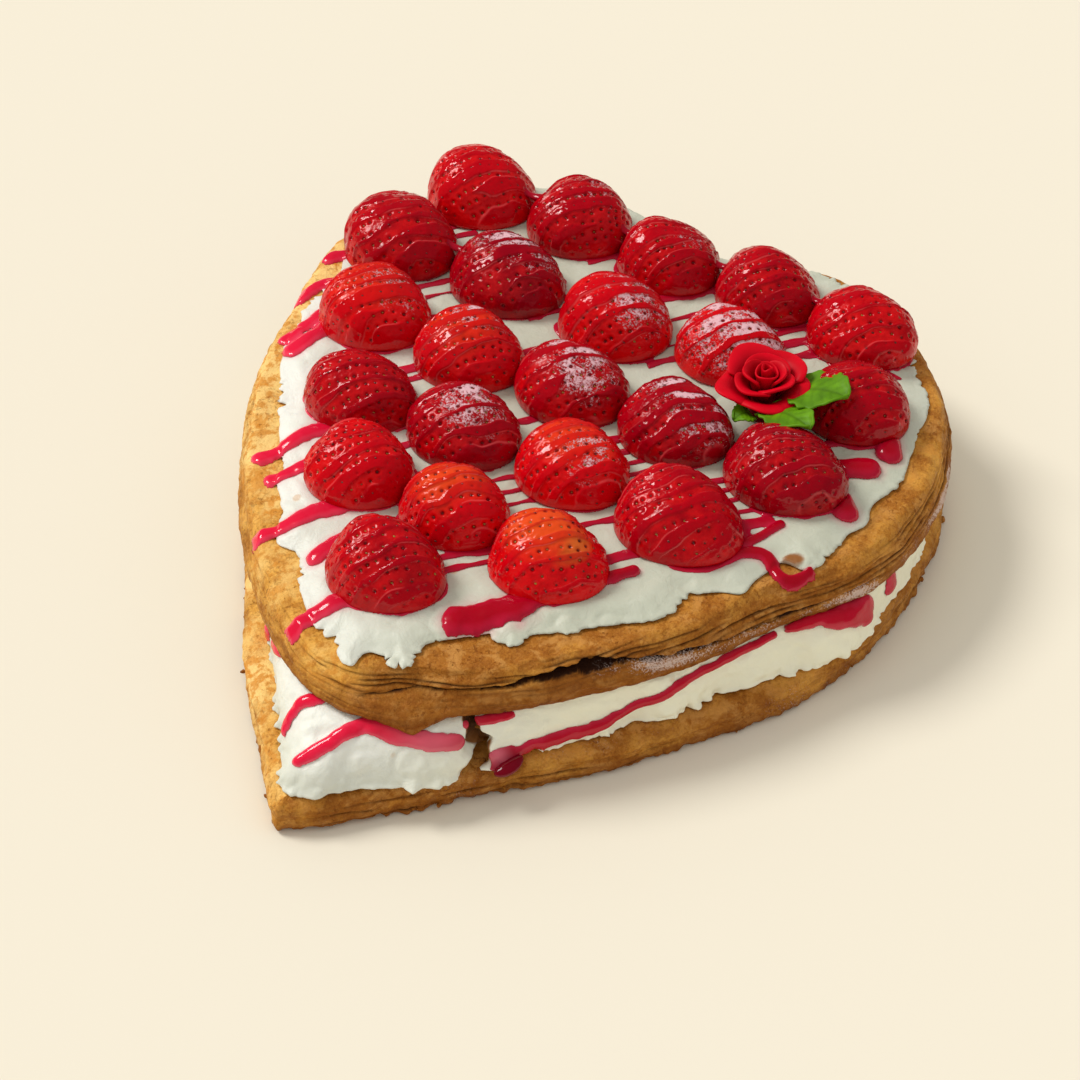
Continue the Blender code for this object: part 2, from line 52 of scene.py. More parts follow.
# heights; those of the solids are read from the frame
layers = {
    "lowerTop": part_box("bottom_pastry")[1][2] / mm,
    "fillingFoot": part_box("lower_cream")[0][2] / mm, "fillingTop": 27.7,
    "upperFoot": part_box("top_pastry")[0][2] / mm, "upperTop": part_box("top_pastry")[1][2] / mm,
    "spreadFoot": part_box("top_cream")[0][2] / mm, "spreadTop": 46.0,
}

# edges of the four layers, from the tip round the right side
bottomEdge = [
    (-3, -147), (3, -147), (13, -139), (29, -123), (55, -96), (76, -74), (95, -49), (109, -28),
    (119, -6), (124.5, 20), (125, 45), (120, 77), (108, 105), (88, 127), (64, 143), (40, 148),
    (18, 141), (5, 130), (-4, 130), (-18, 140), (-40, 144), (-64, 140), (-88, 124), (-107, 101),
    (-117, 75), (-119, 50), (-113, 20), (-99, -15), (-80, -50), (-66, -71), (-50, -95),
    (-36, -111), (-19, -129),
]
topEdge = [
    (-1, -117), (10, -117), (22, -112.5), (39, -100), (53, -88), (68, -72), (80, -58), (92, -40),
    (105, -14), (116, 2), (124, 20), (127, 46), (123, 72), (113, 96), (98, 116), (76, 134),
    (52, 145), (34, 144.5), (16, 138), (4, 131), (-4, 131), (-17, 137), (-36, 141), (-56, 141),
    (-78, 134), (-99, 120), (-115, 101), (-123, 76), (-122, 55), (-116, 31), (-107, -3),
    (-91, -35), (-73, -61), (-59, -78), (-45, -92), (-30, -104), (-14, -114),
]
topCreamEdge = [
    (-1, -109.5), (4, -110), (7, -103), (13, -104.5), (18, -104), (21, -99), (19, -93), (23, -86),
    (32, -79), (43, -78), (46, -70), (55, -65), (60, -59), (68, -51), (75, -47), (78.5, -40),
    (78, -32), (86, -23), (94, -19), (95, -8), (98, -1), (107, 0), (110, 10), (110, 22),
    (113, 29), (111, 39), (113.5, 53), (111, 66), (109, 77), (104.5, 93), (93, 109), (76, 124),
    (56, 137), (38, 139.5), (20, 135.5), (7, 130), (-4, 129.5), (-16, 133), (-34, 137.5),
    (-55, 138.5), (-74, 132.5), (-90, 123.5), (-105, 109), (-111.5, 90), (-112, 72), (-110.5, 59),
    (-107, 49), (-109, 41), (-108, 31), (-103, 15), (-99, 3), (-90, -12), (-81, -24), (-70, -41),
    (-62, -54), (-53, -65), (-47, -76), (-40, -77), (-33, -84), (-24, -94), (-14, -102),
    (-6, -106),
]
lowerCreamEdge = [
    (1, -142), (8, -140), (14, -133), (20, -128), (29, -123), (37, -118), (41.5, -113),
    (43.5, -107.4), (42.6, -103.6), (41.2, -99.5), (39.8, -94.6), (38.6, -90.4), (40.2, -88.6),
    (42.6, -88.9), (44.0, -92.0), (45.2, -96.5), (46.6, -100.6), (48.6, -101.9), (51, -99.5),
    (56, -92.3), (61.5, -83.5), (67, -76.5), (73, -70.5), (77.5, -61), (87, -54.5), (92, -43),
    (97, -34), (105, -25), (112, -13), (119, -8), (123, 0), (125, 14), (123.5, 24), (124, 44),
    (119, 70), (107, 97), (87, 119), (63, 135), (40, 140), (20, 135), (5, 123), (-5, 123),
    (-20, 133), (-40, 137), (-63, 132), (-85, 117), (-102, 95), (-111, 72), (-113, 50),
    (-107, 20), (-93, -15), (-75, -48), (-60, -69), (-45, -88), (-35, -99), (-27, -110),
    (-16, -123), (-7, -135), (-3, -141),
]


def cornerValue(cell, seed):
    ix, iy, iz = cell.T
    mixed = (ix * 73856093) ^ (iy * 19349663) ^ (iz * 83492791) ^ (seed * 40503 + 7919)
    mixed = (mixed ^ (mixed >> 13)) * 1274126177
    mixed = (mixed ^ (mixed >> 16)) & 0xFFFF
    return mixed / 32767.5 - 1


def wander(points, width, seed=0, octaves=1):
    # smooth noise from -1 to 1; width is that of its lumps
    p = np.atleast_2d(np.asarray(points, dtype=float)) / width
    if p.shape[1] == 2:
        p = np.column_stack([p, np.zeros(len(p))])
    total, weight = np.zeros(len(p)), 1.0
    for octave in range(octaves):
        whole = np.floor(p)
        part = p - whole
        part = part * part * (3 - 2 * part)
        for corner in np.ndindex(2, 2, 2):
            share = np.where(corner, part, 1 - part)
            total += weight * share[:, 0] * share[:, 1] * share[:, 2] * cornerValue(
                whole.astype(np.int64) + corner, seed + octave * 31)
        weight *= 0.5
        p = p * 2.03 + 17.3
    return total


def ripples(points, *waves):
    # sum of noises, each given by its size, the width of its lumps and its seed
    return sum(size * wander(points, width, seed) for size, width, seed in waves)


def clip(values, low=0, high=1):
    return np.clip(values, low, high)


def bell(distance, power=2):
    return np.exp(-np.abs(distance) ** power)


def torn(points, width, seed):
    # mostly nought, with sharp short tears
    return clip(1 - np.abs(wander(points, width, seed)) * 3.5) * clip(
        0.3 + 1.5 * wander(points, width * 3, seed + 1))


def terraced(points, width, seed):
    # thin flakes lying over each other: noise cut into steps with a crisp edge
    level = wander(points, width, seed, 2) * 3.2
    step = np.floor(level)
    return (step + clip((level - step) * 5)) / 3.2


def placed(points):
    # from the drawing's place to the frame's
    p = np.array(points, dtype=float)
    p[..., :2] -= drawingShift
    return p


def near(points, centre, reach):
    return bell(np.linalg.norm(points - placed(centre), axis=-1) / reach)


def unitLong(vectors):
    return vectors / np.maximum(np.linalg.norm(vectors, axis=-1), 1e-9)[..., None]


def curve(a, b, c, d, t):
    # smooth way from b to c, with a before and d after them
    return 0.5 * (2 * b + (c - a) * t + (2 * a - 5 * b + 4 * c - d) * t ** 2
                  + (3 * b - a - 3 * c + d) * t ** 3)


def smoothLoop(knots, count):
    # evenly spaced points round a smooth closed curve through the knots
    k = np.array(knots, dtype=float)
    t = np.linspace(0, 1, 16, endpoint=False)[None, :, None]
    fine = curve(*(np.roll(k, turn, 0)[:, None] for turn in (1, 0, -1, -2)), t).reshape(-1, 2)
    closed = np.vstack([fine, fine[:1]])
    length = np.append(0, np.cumsum(np.linalg.norm(np.diff(closed, axis=0), axis=1)))
    want = np.linspace(0, length[-1], count, endpoint=False)
    return placed(np.column_stack([np.interp(want, length, closed[:, i]) for i in (0, 1)]))


def smoothPath(knots, steps):
    k = np.array(knots, dtype=float)
    k = np.vstack([2 * k[0] - k[1], k, 2 * k[-1] - k[-2]])
    t = np.linspace(0, 1, steps, endpoint=False)[:, None]
    return np.vstack([curve(*k[i:i + 4], t) for i in range(len(k) - 3)] + [k[-2]])


def inwardOf(loop):
    along = np.roll(loop, -1, 0) - np.roll(loop, 1, 0)
    return unitLong(np.column_stack([-along[:, 1], along[:, 0]]))


def reachIn(loop, points):
    # how far the loop lies from the middle of the heart, in the direction of each point
    away, want = loop - heartMiddle, points - heartMiddle
    angle = np.arctan2(away[:, 1], away[:, 0])
    order = np.argsort(angle)
    return np.interp(np.arctan2(want[:, 1], want[:, 0]), angle[order],
                     np.linalg.norm(away, axis=1)[order], period=2 * np.pi)


def sunny(points):
    # 1 on the side that the light comes from, 0 on the other
    return clip((points[:, :2] @ leftWay - 22) / 62)


def softened(values, times):
    for _ in range(times):
        values = 0.25 * np.roll(values, 1, 0) + 0.5 * values + 0.25 * np.roll(values, -1, 0)
    return values


def neighbours(grid):
    # sum of the four values round each inner one
    return grid[:-2, 1:-1] + grid[2:, 1:-1] + grid[1:-1, :-2] + grid[1:-1, 2:]


def gridNormals(p):
    # p is rows x columns x 3, columns run all round
    return unitLong(np.cross(np.roll(p, -1, 1) - np.roll(p, 1, 1), np.gradient(p, axis=0)))


def treeOf(points):
    tree = kdtree.KDTree(len(points))
    for i, point in enumerate(points):
        tree.insert(point, i)
    tree.balance()
    return tree


def deselectAll():
    if bpy.context.object and bpy.context.object.mode != "OBJECT":
        bpy.ops.object.mode_set(mode="OBJECT")
    bpy.ops.object.select_all(action="DESELECT")


def newPiece(name, points, faces):
    mesh = bpy.data.meshes.new(name)
    mesh.from_pydata((np.asarray(points) * mm).tolist(), [], faces)
    mesh.validate()
    piece = bpy.data.objects.new(name, mesh)
    bpy.context.scene.collection.objects.link(piece)
    return piece


def corners(piece):
    return np.array([v.co[:] for v in piece.data.vertices])


def moveCorners(piece, points):
    piece.data.vertices.foreach_set("co", (points * mm).astype(np.float32).ravel())


def addMasks(piece, **masks):
    # values for the materials, one for each corner or one for all
    for name, values in masks.items():
        layer = piece.data.attributes.new(name, "FLOAT", "POINT")
        values = np.broadcast_to(values, len(piece.data.vertices)).astype(np.float32)
        layer.data.foreach_set("value", values)


def addRim(piece, rim):
    layer = piece.data.attributes.new("rim", "FLOAT_VECTOR", "POINT")
    layer.data.foreach_set("vector", (rim.reshape(-1) * mm).astype(np.float32))


def applyModifier(piece, kind, **values):
    deselectAll()
    piece.select_set(True)
    bpy.context.view_layer.objects.active = piece
    modifier = piece.modifiers.new(kind.lower(), kind)
    for key, value in values.items():
        setattr(modifier, key, value)
    bpy.ops.object.modifier_apply(modifier=modifier.name)


def joined(name, parts):
    deselectAll()
    for part in parts:
        part.select_set(True)
    bpy.context.view_layer.objects.active = parts[0]
    bpy.ops.object.join()
    bpy.context.object.name = name
    return bpy.context.object


def finishPiece(piece, material, slot, *nodes):
    piece.data.polygons.foreach_set("use_smooth", np.ones(len(piece.data.polygons), dtype=bool))
    piece.data.update()
    piece.data.materials.clear()
    piece.data.materials.append(material)
    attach(piece, "root")
    if nodes:
        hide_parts(*nodes)
    print(f"{piece.name}: {sum(len(p.vertices) - 2 for p in piece.data.polygons)} triangles")


def closedSheet(name, p):
    # p: rows x columns x 3, wrapped round, lowest row first; both ends are capped
    rows, columns = p.shape[:2]
    i, j = np.meshgrid(np.arange(rows - 1), np.arange(columns), indexing="ij")
    k = (j + 1) % columns
    quads = np.stack([i * columns + j, i * columns + k, (i + 1) * columns + k,
                      (i + 1) * columns + j], axis=-1)
    faces = quads.reshape(-1, 4).tolist()
    faces.append(list(range(columns - 1, -1, -1)))
    faces.append(list(range((rows - 1) * columns, rows * columns)))
    return newPiece(name, p.reshape(-1, 3), faces)


class Wiring:
    # short hand for adding and joining shader nodes
    def __init__(self, tree):
        self.tree = tree

    def put(self, value, target):
        if hasattr(value, "is_output"):
            self.tree.links.new(value, target)
        else:
            target.default_value = (*value, 1) if target.type == "RGBA" else value

    def wire(self, node, **inputs):
        for key, value in inputs.items():
            self.put(value, node.inputs[key.replace("_", " ")])
        return node

    def node(self, kind, settings=None, **inputs):
        made = self.tree.nodes.new("ShaderNode" + kind)
        for key, value in (settings or {}).items():
            setattr(made, key, value)
        return self.wire(made, **inputs)

    def mask(self, name, output="Fac"):
        return self.node("Attribute", {"attribute_name": name}).outputs[output]

    def place(self, scale=(1, 1, 1), field=None):
        vector = self.mask(field, "Vector") if field else self.node("TexCoord").outputs["Object"]
        return self.node("Mapping", Vector=vector, Scale=scale).outputs["Vector"]

    def noise(self, vector, scale, detail=3, roughness=0.55, distortion=0, output="Fac"):
        return self.node("TexNoise", Vector=vector, Scale=scale, Detail=detail,
                         Roughness=roughness, Distortion=distortion).outputs[output]

    def cells(self, vector, scale, output="Distance", feature="F1"):
        return self.node("TexVoronoi", {"feature": feature}, Vector=vector,
                         Scale=scale).outputs[output]

    def bent(self, vector, scale, amount):
        # the same place pushed about by noise
        shift = self.node("VectorMath", {"operation": "MULTIPLY_ADD"})
        for at, value in enumerate((self.noise(vector, scale, 3, 0.5, 0, "Color"),
                                    (amount, amount, amount), vector)):
            self.put(value, shift.inputs[at])
        return shift.outputs[0]

    def math(self, operation, a, b):
        made = self.node("Math", {"operation": operation, "use_clamp": True})
        self.put(a, made.inputs[0])
        self.put(b, made.inputs[1])
        return made.outputs[0]

    def plus(self, a, b):
        return self.math("ADD", a, b)

    def minus(self, a, b):
        return self.math("SUBTRACT", a, b)

    def times(self, a, b):
        return self.math("MULTIPLY", a, b)

    def spread(self, value, low, high, outLow=0, outHigh=1):
        return self.node("MapRange", Value=value, From_Min=low, From_Max=high, To_Min=outLow,
                         To_Max=outHigh).outputs["Result"]

    def blend(self, factor, a, b, kind="FLOAT", first=2, result=0):
        made = self.node("Mix", {"data_type": kind})
        for value, at in ((factor, 0), (a, first), (b, first + 1)):
            self.put(value, made.inputs[at])
        return made.outputs[result]

    def layered(self, palette, first, *coats):
        # colours laid over each other, each through its own mask
        tone = palette[first]
        for colour, mask in coats:
            over = palette[colour] if isinstance(colour, str) else colour
            tone = self.blend(mask, tone, over, "RGBA", 6, 2)
        return tone

    def bumps(self, *rises, normal=None):
        # each rise: a height, its strength and its distance
        for height, strength, distance in rises:
            made = self.node("Bump", Height=height, Strength=strength, Distance=distance)
            if normal:
                self.put(normal, made.inputs["Normal"])
            normal = made.outputs["Normal"]
        return normal

    def grain(self, scale, coarse):
        made = self.node("Group", {"node_tree": fineGrain}, Scale=scale, Coarse=coarse)
        return made.outputs["Height"]


def newMaterial(name, **plain):
    # the material, its wiring and its shader, with plain values put on the shader's own sockets
    material = bpy.data.materials.new(name)
    material.use_nodes = True
    w = Wiring(material.node_tree)
    return material, w, w.wire(material.node_tree.nodes["Principled BSDF"], **plain)


def grainGroup():
    # fine grain shared by the pastry, the cream and the sugar paste
    tree = bpy.data.node_groups.new("fineGrain", "ShaderNodeTree")
    for name, direction in (("Scale", "INPUT"), ("Coarse", "INPUT"), ("Height", "OUTPUT")):
        tree.interface.new_socket(name=name, in_out=direction, socket_type="NodeSocketFloat")
    w = Wiring(tree)
    start, end = tree.nodes.new("NodeGroupInput"), tree.nodes.new("NodeGroupOutput")
    place = w.node("TexCoord").outputs["Object"]
    fine = w.noise(place, start.outputs["Scale"])
    coarse = w.noise(place, start.outputs["Coarse"], 2)
    w.wire(end, Height=w.plus(w.times(fine, 0.5), w.times(coarse, 0.5)))
    return tree


fineGrain = grainGroup()


# tones from pale to golden follow the toast mask, which carries both the crust's browning and
# painted light; dark serves the leaf joints and painted shade in the split
bakedPastry = {
    "pale": (0.97, 0.655, 0.225), "honey": (0.83, 0.42, 0.070), "golden": (0.43, 0.162, 0.020),
    "amber": (0.70, 0.26, 0.020), "tan": (0.62, 0.30, 0.075), "brown": (0.25, 0.070, 0.005),
    "scorched": (0.13, 0.034, 0.004), "dark": (0.035, 0.010, 0.003), "sugar": (0.74, 0.58, 0.50),
}


def pastryMaterial():
    material, w, shader = newMaterial("bakedPastry", Roughness=0.55, Specular_IOR_Level=0.12)
    place = w.place()
    patches, small = w.noise(place, 48, 4, 0.6, 0.5), w.noise(place, 230, 5, 0.68, 0.4)
    broad, specks = w.noise(place, 120, 4, 0.65, 0.3), w.noise(place, 1050, 3, 0.7)
    streaks = w.noise(w.bent(w.place((0.22, 0.22, 1), "rim"), 260, 0.0016), 520, 5, 0.62, 0.5)
    flaky = w.bent(place, 190, 0.006)
    apart = w.node("SeparateColor", Color=w.cells(flaky, 300, "Color"))
    plate, seam = apart.outputs[0], w.cells(flaky, 300, feature="DISTANCE_TO_EDGE")
    # how brown the crust is, with painted light: paler where the side faces the light
    toast = w.plus(w.mask("toast"), w.spread(patches, 0.35, 0.65, -0.25, 0.25))
    baked, base, sugar = w.blend(toast, 0.12, 1.0), w.mask("base"), w.mask("sugar")
    spot = w.times(w.spread(w.noise(place, 640, 2, 0.5, 0.3), 0.61, 0.68),
                   w.spread(patches, 0.40, 0.58))
    seam = w.times(w.spread(seam, 0.04, 0.01), w.spread(patches, 0.42, 0.56))
    side = w.times(w.mask("side"), w.spread(streaks, 0.44, 0.60))
    clumps = w.plus(w.noise(place, 1700, 3, 0.7), w.times(sugar, 0.25))
    clumps = w.plus(clumps, w.spread(small, 0.3, 0.7, -0.1, 0.1))
    dust = w.times(w.spread(clumps, 0.60, 0.76), w.spread(sugar, 0.02, 0.2))
    tone = w.layered(
        bakedPastry, "pale",
        ("honey", w.spread(toast, 0.0, 0.45)),
        ("golden", w.spread(toast, 0.4, 1.0)),
        ("amber", w.times(w.spread(small, 0.49, 0.60), w.blend(toast, 0.8, 0.2))),
        ("brown", w.times(w.spread(small, 0.50, 0.66, 0, 0.55), baked)),
        ("brown", w.times(w.spread(plate, 0.2, 1.0, 0.0, 0.28), baked)),
        ("brown", w.times(w.spread(specks, 0.50, 0.64, 0, 0.5), baked)),
        ("tan", w.times(w.spread(broad, 0.50, 0.60, 0, 0.6), baked)),
        ("brown", w.times(w.spread(broad, 0.45, 0.36, 0, 0.5), baked)),
        ("tan", w.spread(specks, 0.44, 0.30, 0, 0.3)),
        ("amber", w.times(w.spread(broad, 0.55, 0.60), w.blend(toast, 0.75, 0.0))),
        ("brown", w.times(spot, w.blend(toast, 0.22, 0.7))),
        ("brown", w.times(seam, w.blend(toast, 0.15, 0.45))),
        ("brown", w.times(side, w.blend(toast, 0.22, 0.6))),
        # base: darker towards the foot; on the upper heart also painted shade below its split
        ("brown", w.times(base, 0.8)),
        ("scorched", w.times(w.times(base, w.spread(small, 0.48, 0.66)), 0.75)),
        # dark: joints between the leaves, and painted shade in the opened split of the upper
        # heart
        ("dark", w.mask("groove")),
        ("sugar", w.times(dust, 0.75)))
    ridges = w.plus(w.times(streaks, w.blend(w.mask("side"), 0.1, 0.75)), w.times(plate, 0.3))
    normal = w.bumps((ridges, 0.6, 0.0007), (spot, 0.6, -0.0005), (specks, 0.75, 0.0006),
                     (small, 0.5, 0.0006), (w.grain(1500.0, 420.0), 0.5, 0.0003))
    w.wire(shader, Base_Color=tone, Normal=normal,
           Roughness=w.spread(small, 0.35, 0.7, 0.42, 0.68))
    return material


# cream tones: the greyish one is painted shade away from the light, the yellow-white one painted
# light on the filling's right side, the near-black one painted shade at the top of the break
whippedCream = {
    "white": (0.825, 0.83, 0.745), "cool": (0.555, 0.575, 0.455), "warm": (0.91, 0.885, 0.68),
    "fleck": (0.62, 0.33, 0.12), "stained": (0.80, 0.24, 0.30), "crumb": (0.30, 0.11, 0.02),
    "hollow": (0.055, 0.016, 0.004),
}


def creamMaterial():
    material, w, shader = newMaterial(
        "whippedCream", Roughness=0.48, Subsurface_Weight=0.12, Subsurface_Scale=0.004,
        Subsurface_Radius=(1.0, 0.9, 0.75))
    place = w.place()
    broad, crumbed = w.noise(place, 40, 3), w.mask("crumbed")
    fleck = w.times(w.spread(w.cells(place, 62), 0.11, 0.07),
                    w.spread(w.noise(place, 33, 1), 0.60, 0.63))
    # the cream's white is laid over painted shade, more where the cream faces the light
    tone = w.layered(
        whippedCream, "cool",
        ("white", w.plus(w.mask("sunny"), w.spread(broad, 0.35, 0.65, -0.12, 0.12))),
        # painted light on the filling's right side
        ("warm", w.mask("warm")),
        ("stained", w.times(w.mask("stain"), 0.45)),
        # crumb colour in the break, and painted shade at its top where it lies under the upper
        # heart
        ("crumb", crumbed),
        ("hollow", w.minus(crumbed, 1)),
        ("fleck", w.times(fleck, 0.5)))
    normal = w.bumps((w.noise(place, 150, 5, 0.66, 0.6), 0.7, 0.0009),
                     (w.grain(700.0, 160.0), 0.45, 0.0003))
    w.wire(shader, Base_Color=tone, Normal=normal,
           Roughness=w.spread(broad, 0.3, 0.7, 0.42, 0.56))
    return material


# the bright red also stands for painted light on the lit side, the pit tone is painted shade in
# the pits round the seeds, and the edge tone a painted highlight along the ribbons' edges
berryFlesh = {
    "deep": (0.27, 0.0, 0.005), "bright": (0.70, 0.001, 0.003), "orange": (0.82, 0.105, 0.012),
    "green": (0.60, 0.44, 0.05), "pit": (0.15, 0.0, 0.003), "sugar": (0.76, 0.48, 0.52),
    "glazeDeep": (0.215, 0.0, 0.008), "glazeBright": (0.57, 0.0, 0.006),
    "glazeEdge": (0.80, 0.11, 0.11),
}


def berryMaterial():
    material, w, shader = newMaterial("strawberry", Roughness=0.22, Coat_Weight=0.15,
                                      Coat_Roughness=0.1, Specular_IOR_Level=0.24)
    place = w.place()
    mottled, fine = w.noise(place, 170, 5, 0.65), w.noise(place, 420, 3, 0.6)
    bright, orange, sugar, lane = (w.mask(name) for name in ("bright", "orange", "sugar", "lane"))
    glaze = w.times(w.spread(lane, 0.0, 0.22), w.mask("upper"))
    # painted shade in the pits round the seeds
    pit = w.spread(w.mask("pit"), 0.35, 0.8)
    mottle = w.plus(w.times(bright, 1.0), w.spread(mottled, 0.3, 0.7, -0.35, 0.35))
    flesh = w.layered(berryFlesh, "deep", ("bright", mottle), ("orange", orange),
                      ("green", w.mask("green")), ("pit", w.times(pit, 0.85)))
    coat = w.layered(berryFlesh, "glazeDeep", ("glazeBright", bright),
                     (flesh, w.times(orange, 0.4)), ("pit", w.times(pit, 0.6)))
    # painted highlight along the ribbons' edges
    line = w.times(w.times(w.spread(lane, 0.02, 0.10), w.spread(lane, 0.24, 0.14)), w.mask("lip"))
    clumps = w.plus(w.noise(place, 1350, 3, 0.65), w.times(sugar, 0.24))
    clumps = w.plus(clumps, w.spread(fine, 0.3, 0.7, -0.12, 0.12))
    dust = w.times(w.spread(clumps, 0.60, 0.75), w.spread(sugar, 0.04, 0.25))
    dust = w.times(w.times(dust, w.spread(pit, 0.6, 0.1)), w.spread(glaze, 1.0, 0.45))
    whole = {**berryFlesh, "flesh": flesh}
    tone = w.layered(whole, "flesh", (coat, w.times(glaze, 0.7)),
                     ("glazeEdge", w.times(line, 0.38)), ("sugar", w.times(dust, 0.9)))
    rough = w.blend(glaze, w.spread(mottled, 0.35, 0.65, 0.15, 0.26), 0.10)
    normal = w.bumps((w.times(fine, w.minus(1, glaze)), 0.35, 0.0004),
                     (w.noise(place, 95, 4, 0.6), 0.55, 0.0014), (pit, 0.5, -0.0004),
                     (dust, 0.8, 0.0003))
    w.wire(shader, Base_Color=tone, Roughness=w.blend(dust, rough, 0.85), Normal=normal,
           Coat_Weight=w.blend(dust, w.blend(glaze, 0.02, 0.14), 0.0))
    return material


sauceRed = {
    "body": (0.38, 0.0, 0.010), "sunnyBody": (0.78, 0.008, 0.045), "edge": (0.50, 0.010, 0.04),
    "sunnyEdge": (0.86, 0.06, 0.12), "deep": (0.15, 0.0, 0.008), "pale": (0.74, 0.16, 0.22),
}


def sauceMaterial():
    material, w, shader = newMaterial("strawberrySauce", Roughness=0.16, Coat_Weight=0.25,
                                      Coat_Roughness=0.08, Specular_IOR_Level=0.25)
    place = w.place()
    cloudy, sun = w.noise(place, 170, 3, 0.6), w.mask("sunny")
    thick = w.plus(w.mask("thick"), w.spread(cloudy, 0.3, 0.7, -0.18, 0.18))
    body = w.layered(sauceRed, "body", ("sunnyBody", sun))
    tone = w.layered(sauceRed, "edge", ("sunnyEdge", sun), (body, thick),
                     ("deep", w.mask("deep")), ("pale", w.mask("pale")))
    w.wire(shader, Base_Color=tone, Roughness=w.spread(cloudy, 0.3, 0.7, 0.10, 0.20),
           Normal=w.bumps((w.noise(place, 90, 3), 0.3, 0.0006)))
    return material


seedBrown = {
    "body": (0.13, 0.010, 0.006), "pale": (0.42, 0.26, 0.03), "dark": (0.07, 0.008, 0.004),
}


def seedMaterial():
    material, w, shader = newMaterial("strawberrySeed", Roughness=0.35, Coat_Weight=0.4,
                                      Coat_Roughness=0.15)
    place = w.place()
    tone = w.layered(seedBrown, "body", ("pale", w.mask("pale")),
                     ("dark", w.spread(w.noise(place, 900, 2), 0.4, 0.7, 0, 0.5)))
    w.wire(shader, Base_Color=tone,
           Roughness=w.spread(w.noise(place, 700, 2), 0.3, 0.7, 0.28, 0.5))
    return material


# the darkest tone of each paste is painted shade in its hollows
pasteKinds = {
    "rosePaste": {
        "body": (0.55, 0.0, 0.007), "light": (0.69, 0.0, 0.012), "hollow": (0.13, 0.0, 0.006),
        "mask": "depth", "share": 0.85, "patches": 130, "gloss": 0.07, "grain": (1500.0, 420.0),
        "roughness": (0.36, 0.5), "bump": (0.25, 0.0002)},
    "leafPaste": {
        "body": (0.075, 0.20, 0.0), "light": (0.14, 0.345, 0.002), "hollow": (0.045, 0.11, 0.0),
        "mask": "vein", "share": 0.6, "patches": 160, "gloss": 0.2, "grain": (1300.0, 380.0),
        "roughness": (0.42, 0.62), "bump": (0.35, 0.0003)},
}


def pasteMaterial(name):
    # sugar paste of the rose and of its leaves: two tones, and painted shade in the hollows
    paste = pasteKinds[name]
    material, w, shader = newMaterial(name, Specular_IOR_Level=paste["gloss"])
    tone = w.layered(paste, "body",
                     ("light", w.spread(w.noise(w.place(), paste["patches"], 3), 0.3, 0.7)),
                     ("hollow", w.times(w.mask(paste["mask"]), paste["share"])))
    grain = w.grain(*paste["grain"])
    w.wire(shader, Base_Color=tone, Roughness=w.spread(grain, 0.3, 0.7, *paste["roughness"]),
           Normal=w.bumps((grain, *paste["bump"])))
    return material


pastrySkin, creamSkin, berrySkin = pastryMaterial(), creamMaterial(), berryMaterial()
sauceSkin, seedSkin = sauceMaterial(), seedMaterial()
roseSkin, leafSkin = pasteMaterial("rosePaste"), pasteMaterial("leafPaste")
print("materials made")

# for each level of a pastry's side, from its foot up: inset and its wave (size, width, seed),
# height and its wave, and how much each pull adds to the inset and to the height
lowerHeart = {
    "columns": 1180, "rows": 58, "leaf": 2.6,
    "side": [
        (5.5, None, 0.02, None, {}), (2.2, None, 0.05, None, {"ragged": (0.8, 0)}),
        (0.5, None, 0.9, None, {"ragged": (1, 0)}), (0, (0.8, 12, 1), 3.2, (0.6, 17, 3), {}),
        (0.6, (0.8, 10, 4), 5.6, (0.7, 17, 5), {}), (0.4, (0.8, 11, 6), 8.0, (0.6, 15, 7), {}),
        (2.2, (0.7, 10, 8), 10.2, (0.5, 13, 9), {}),
        (5.0, None, layers["lowerTop"] - 0.35, None, {}),
        (8.5, None, layers["lowerTop"] - 0.1, None, {}),
    ],
    "ragged": [(1.0, 3.5, 61), (0.7, 1.6, 62)], "lumps": [(0.26, 6, 76), (0.16, 2.4, 77)],
    "flakes": (0.2, 3.4, 82), "leafFlakes": (0.16, 0.28, 3.2, 81), "pores": (0.1, 1.1, 78),
    # toast: start, less where the side faces the light, less where it faces away, and its
    # patches; the first three paint light on the crust
    "leafLift": 0.6, "groove": 1.3, "toast": (1.1, 1.1, 0.35, 0.25), "sugar": 0.15,
}
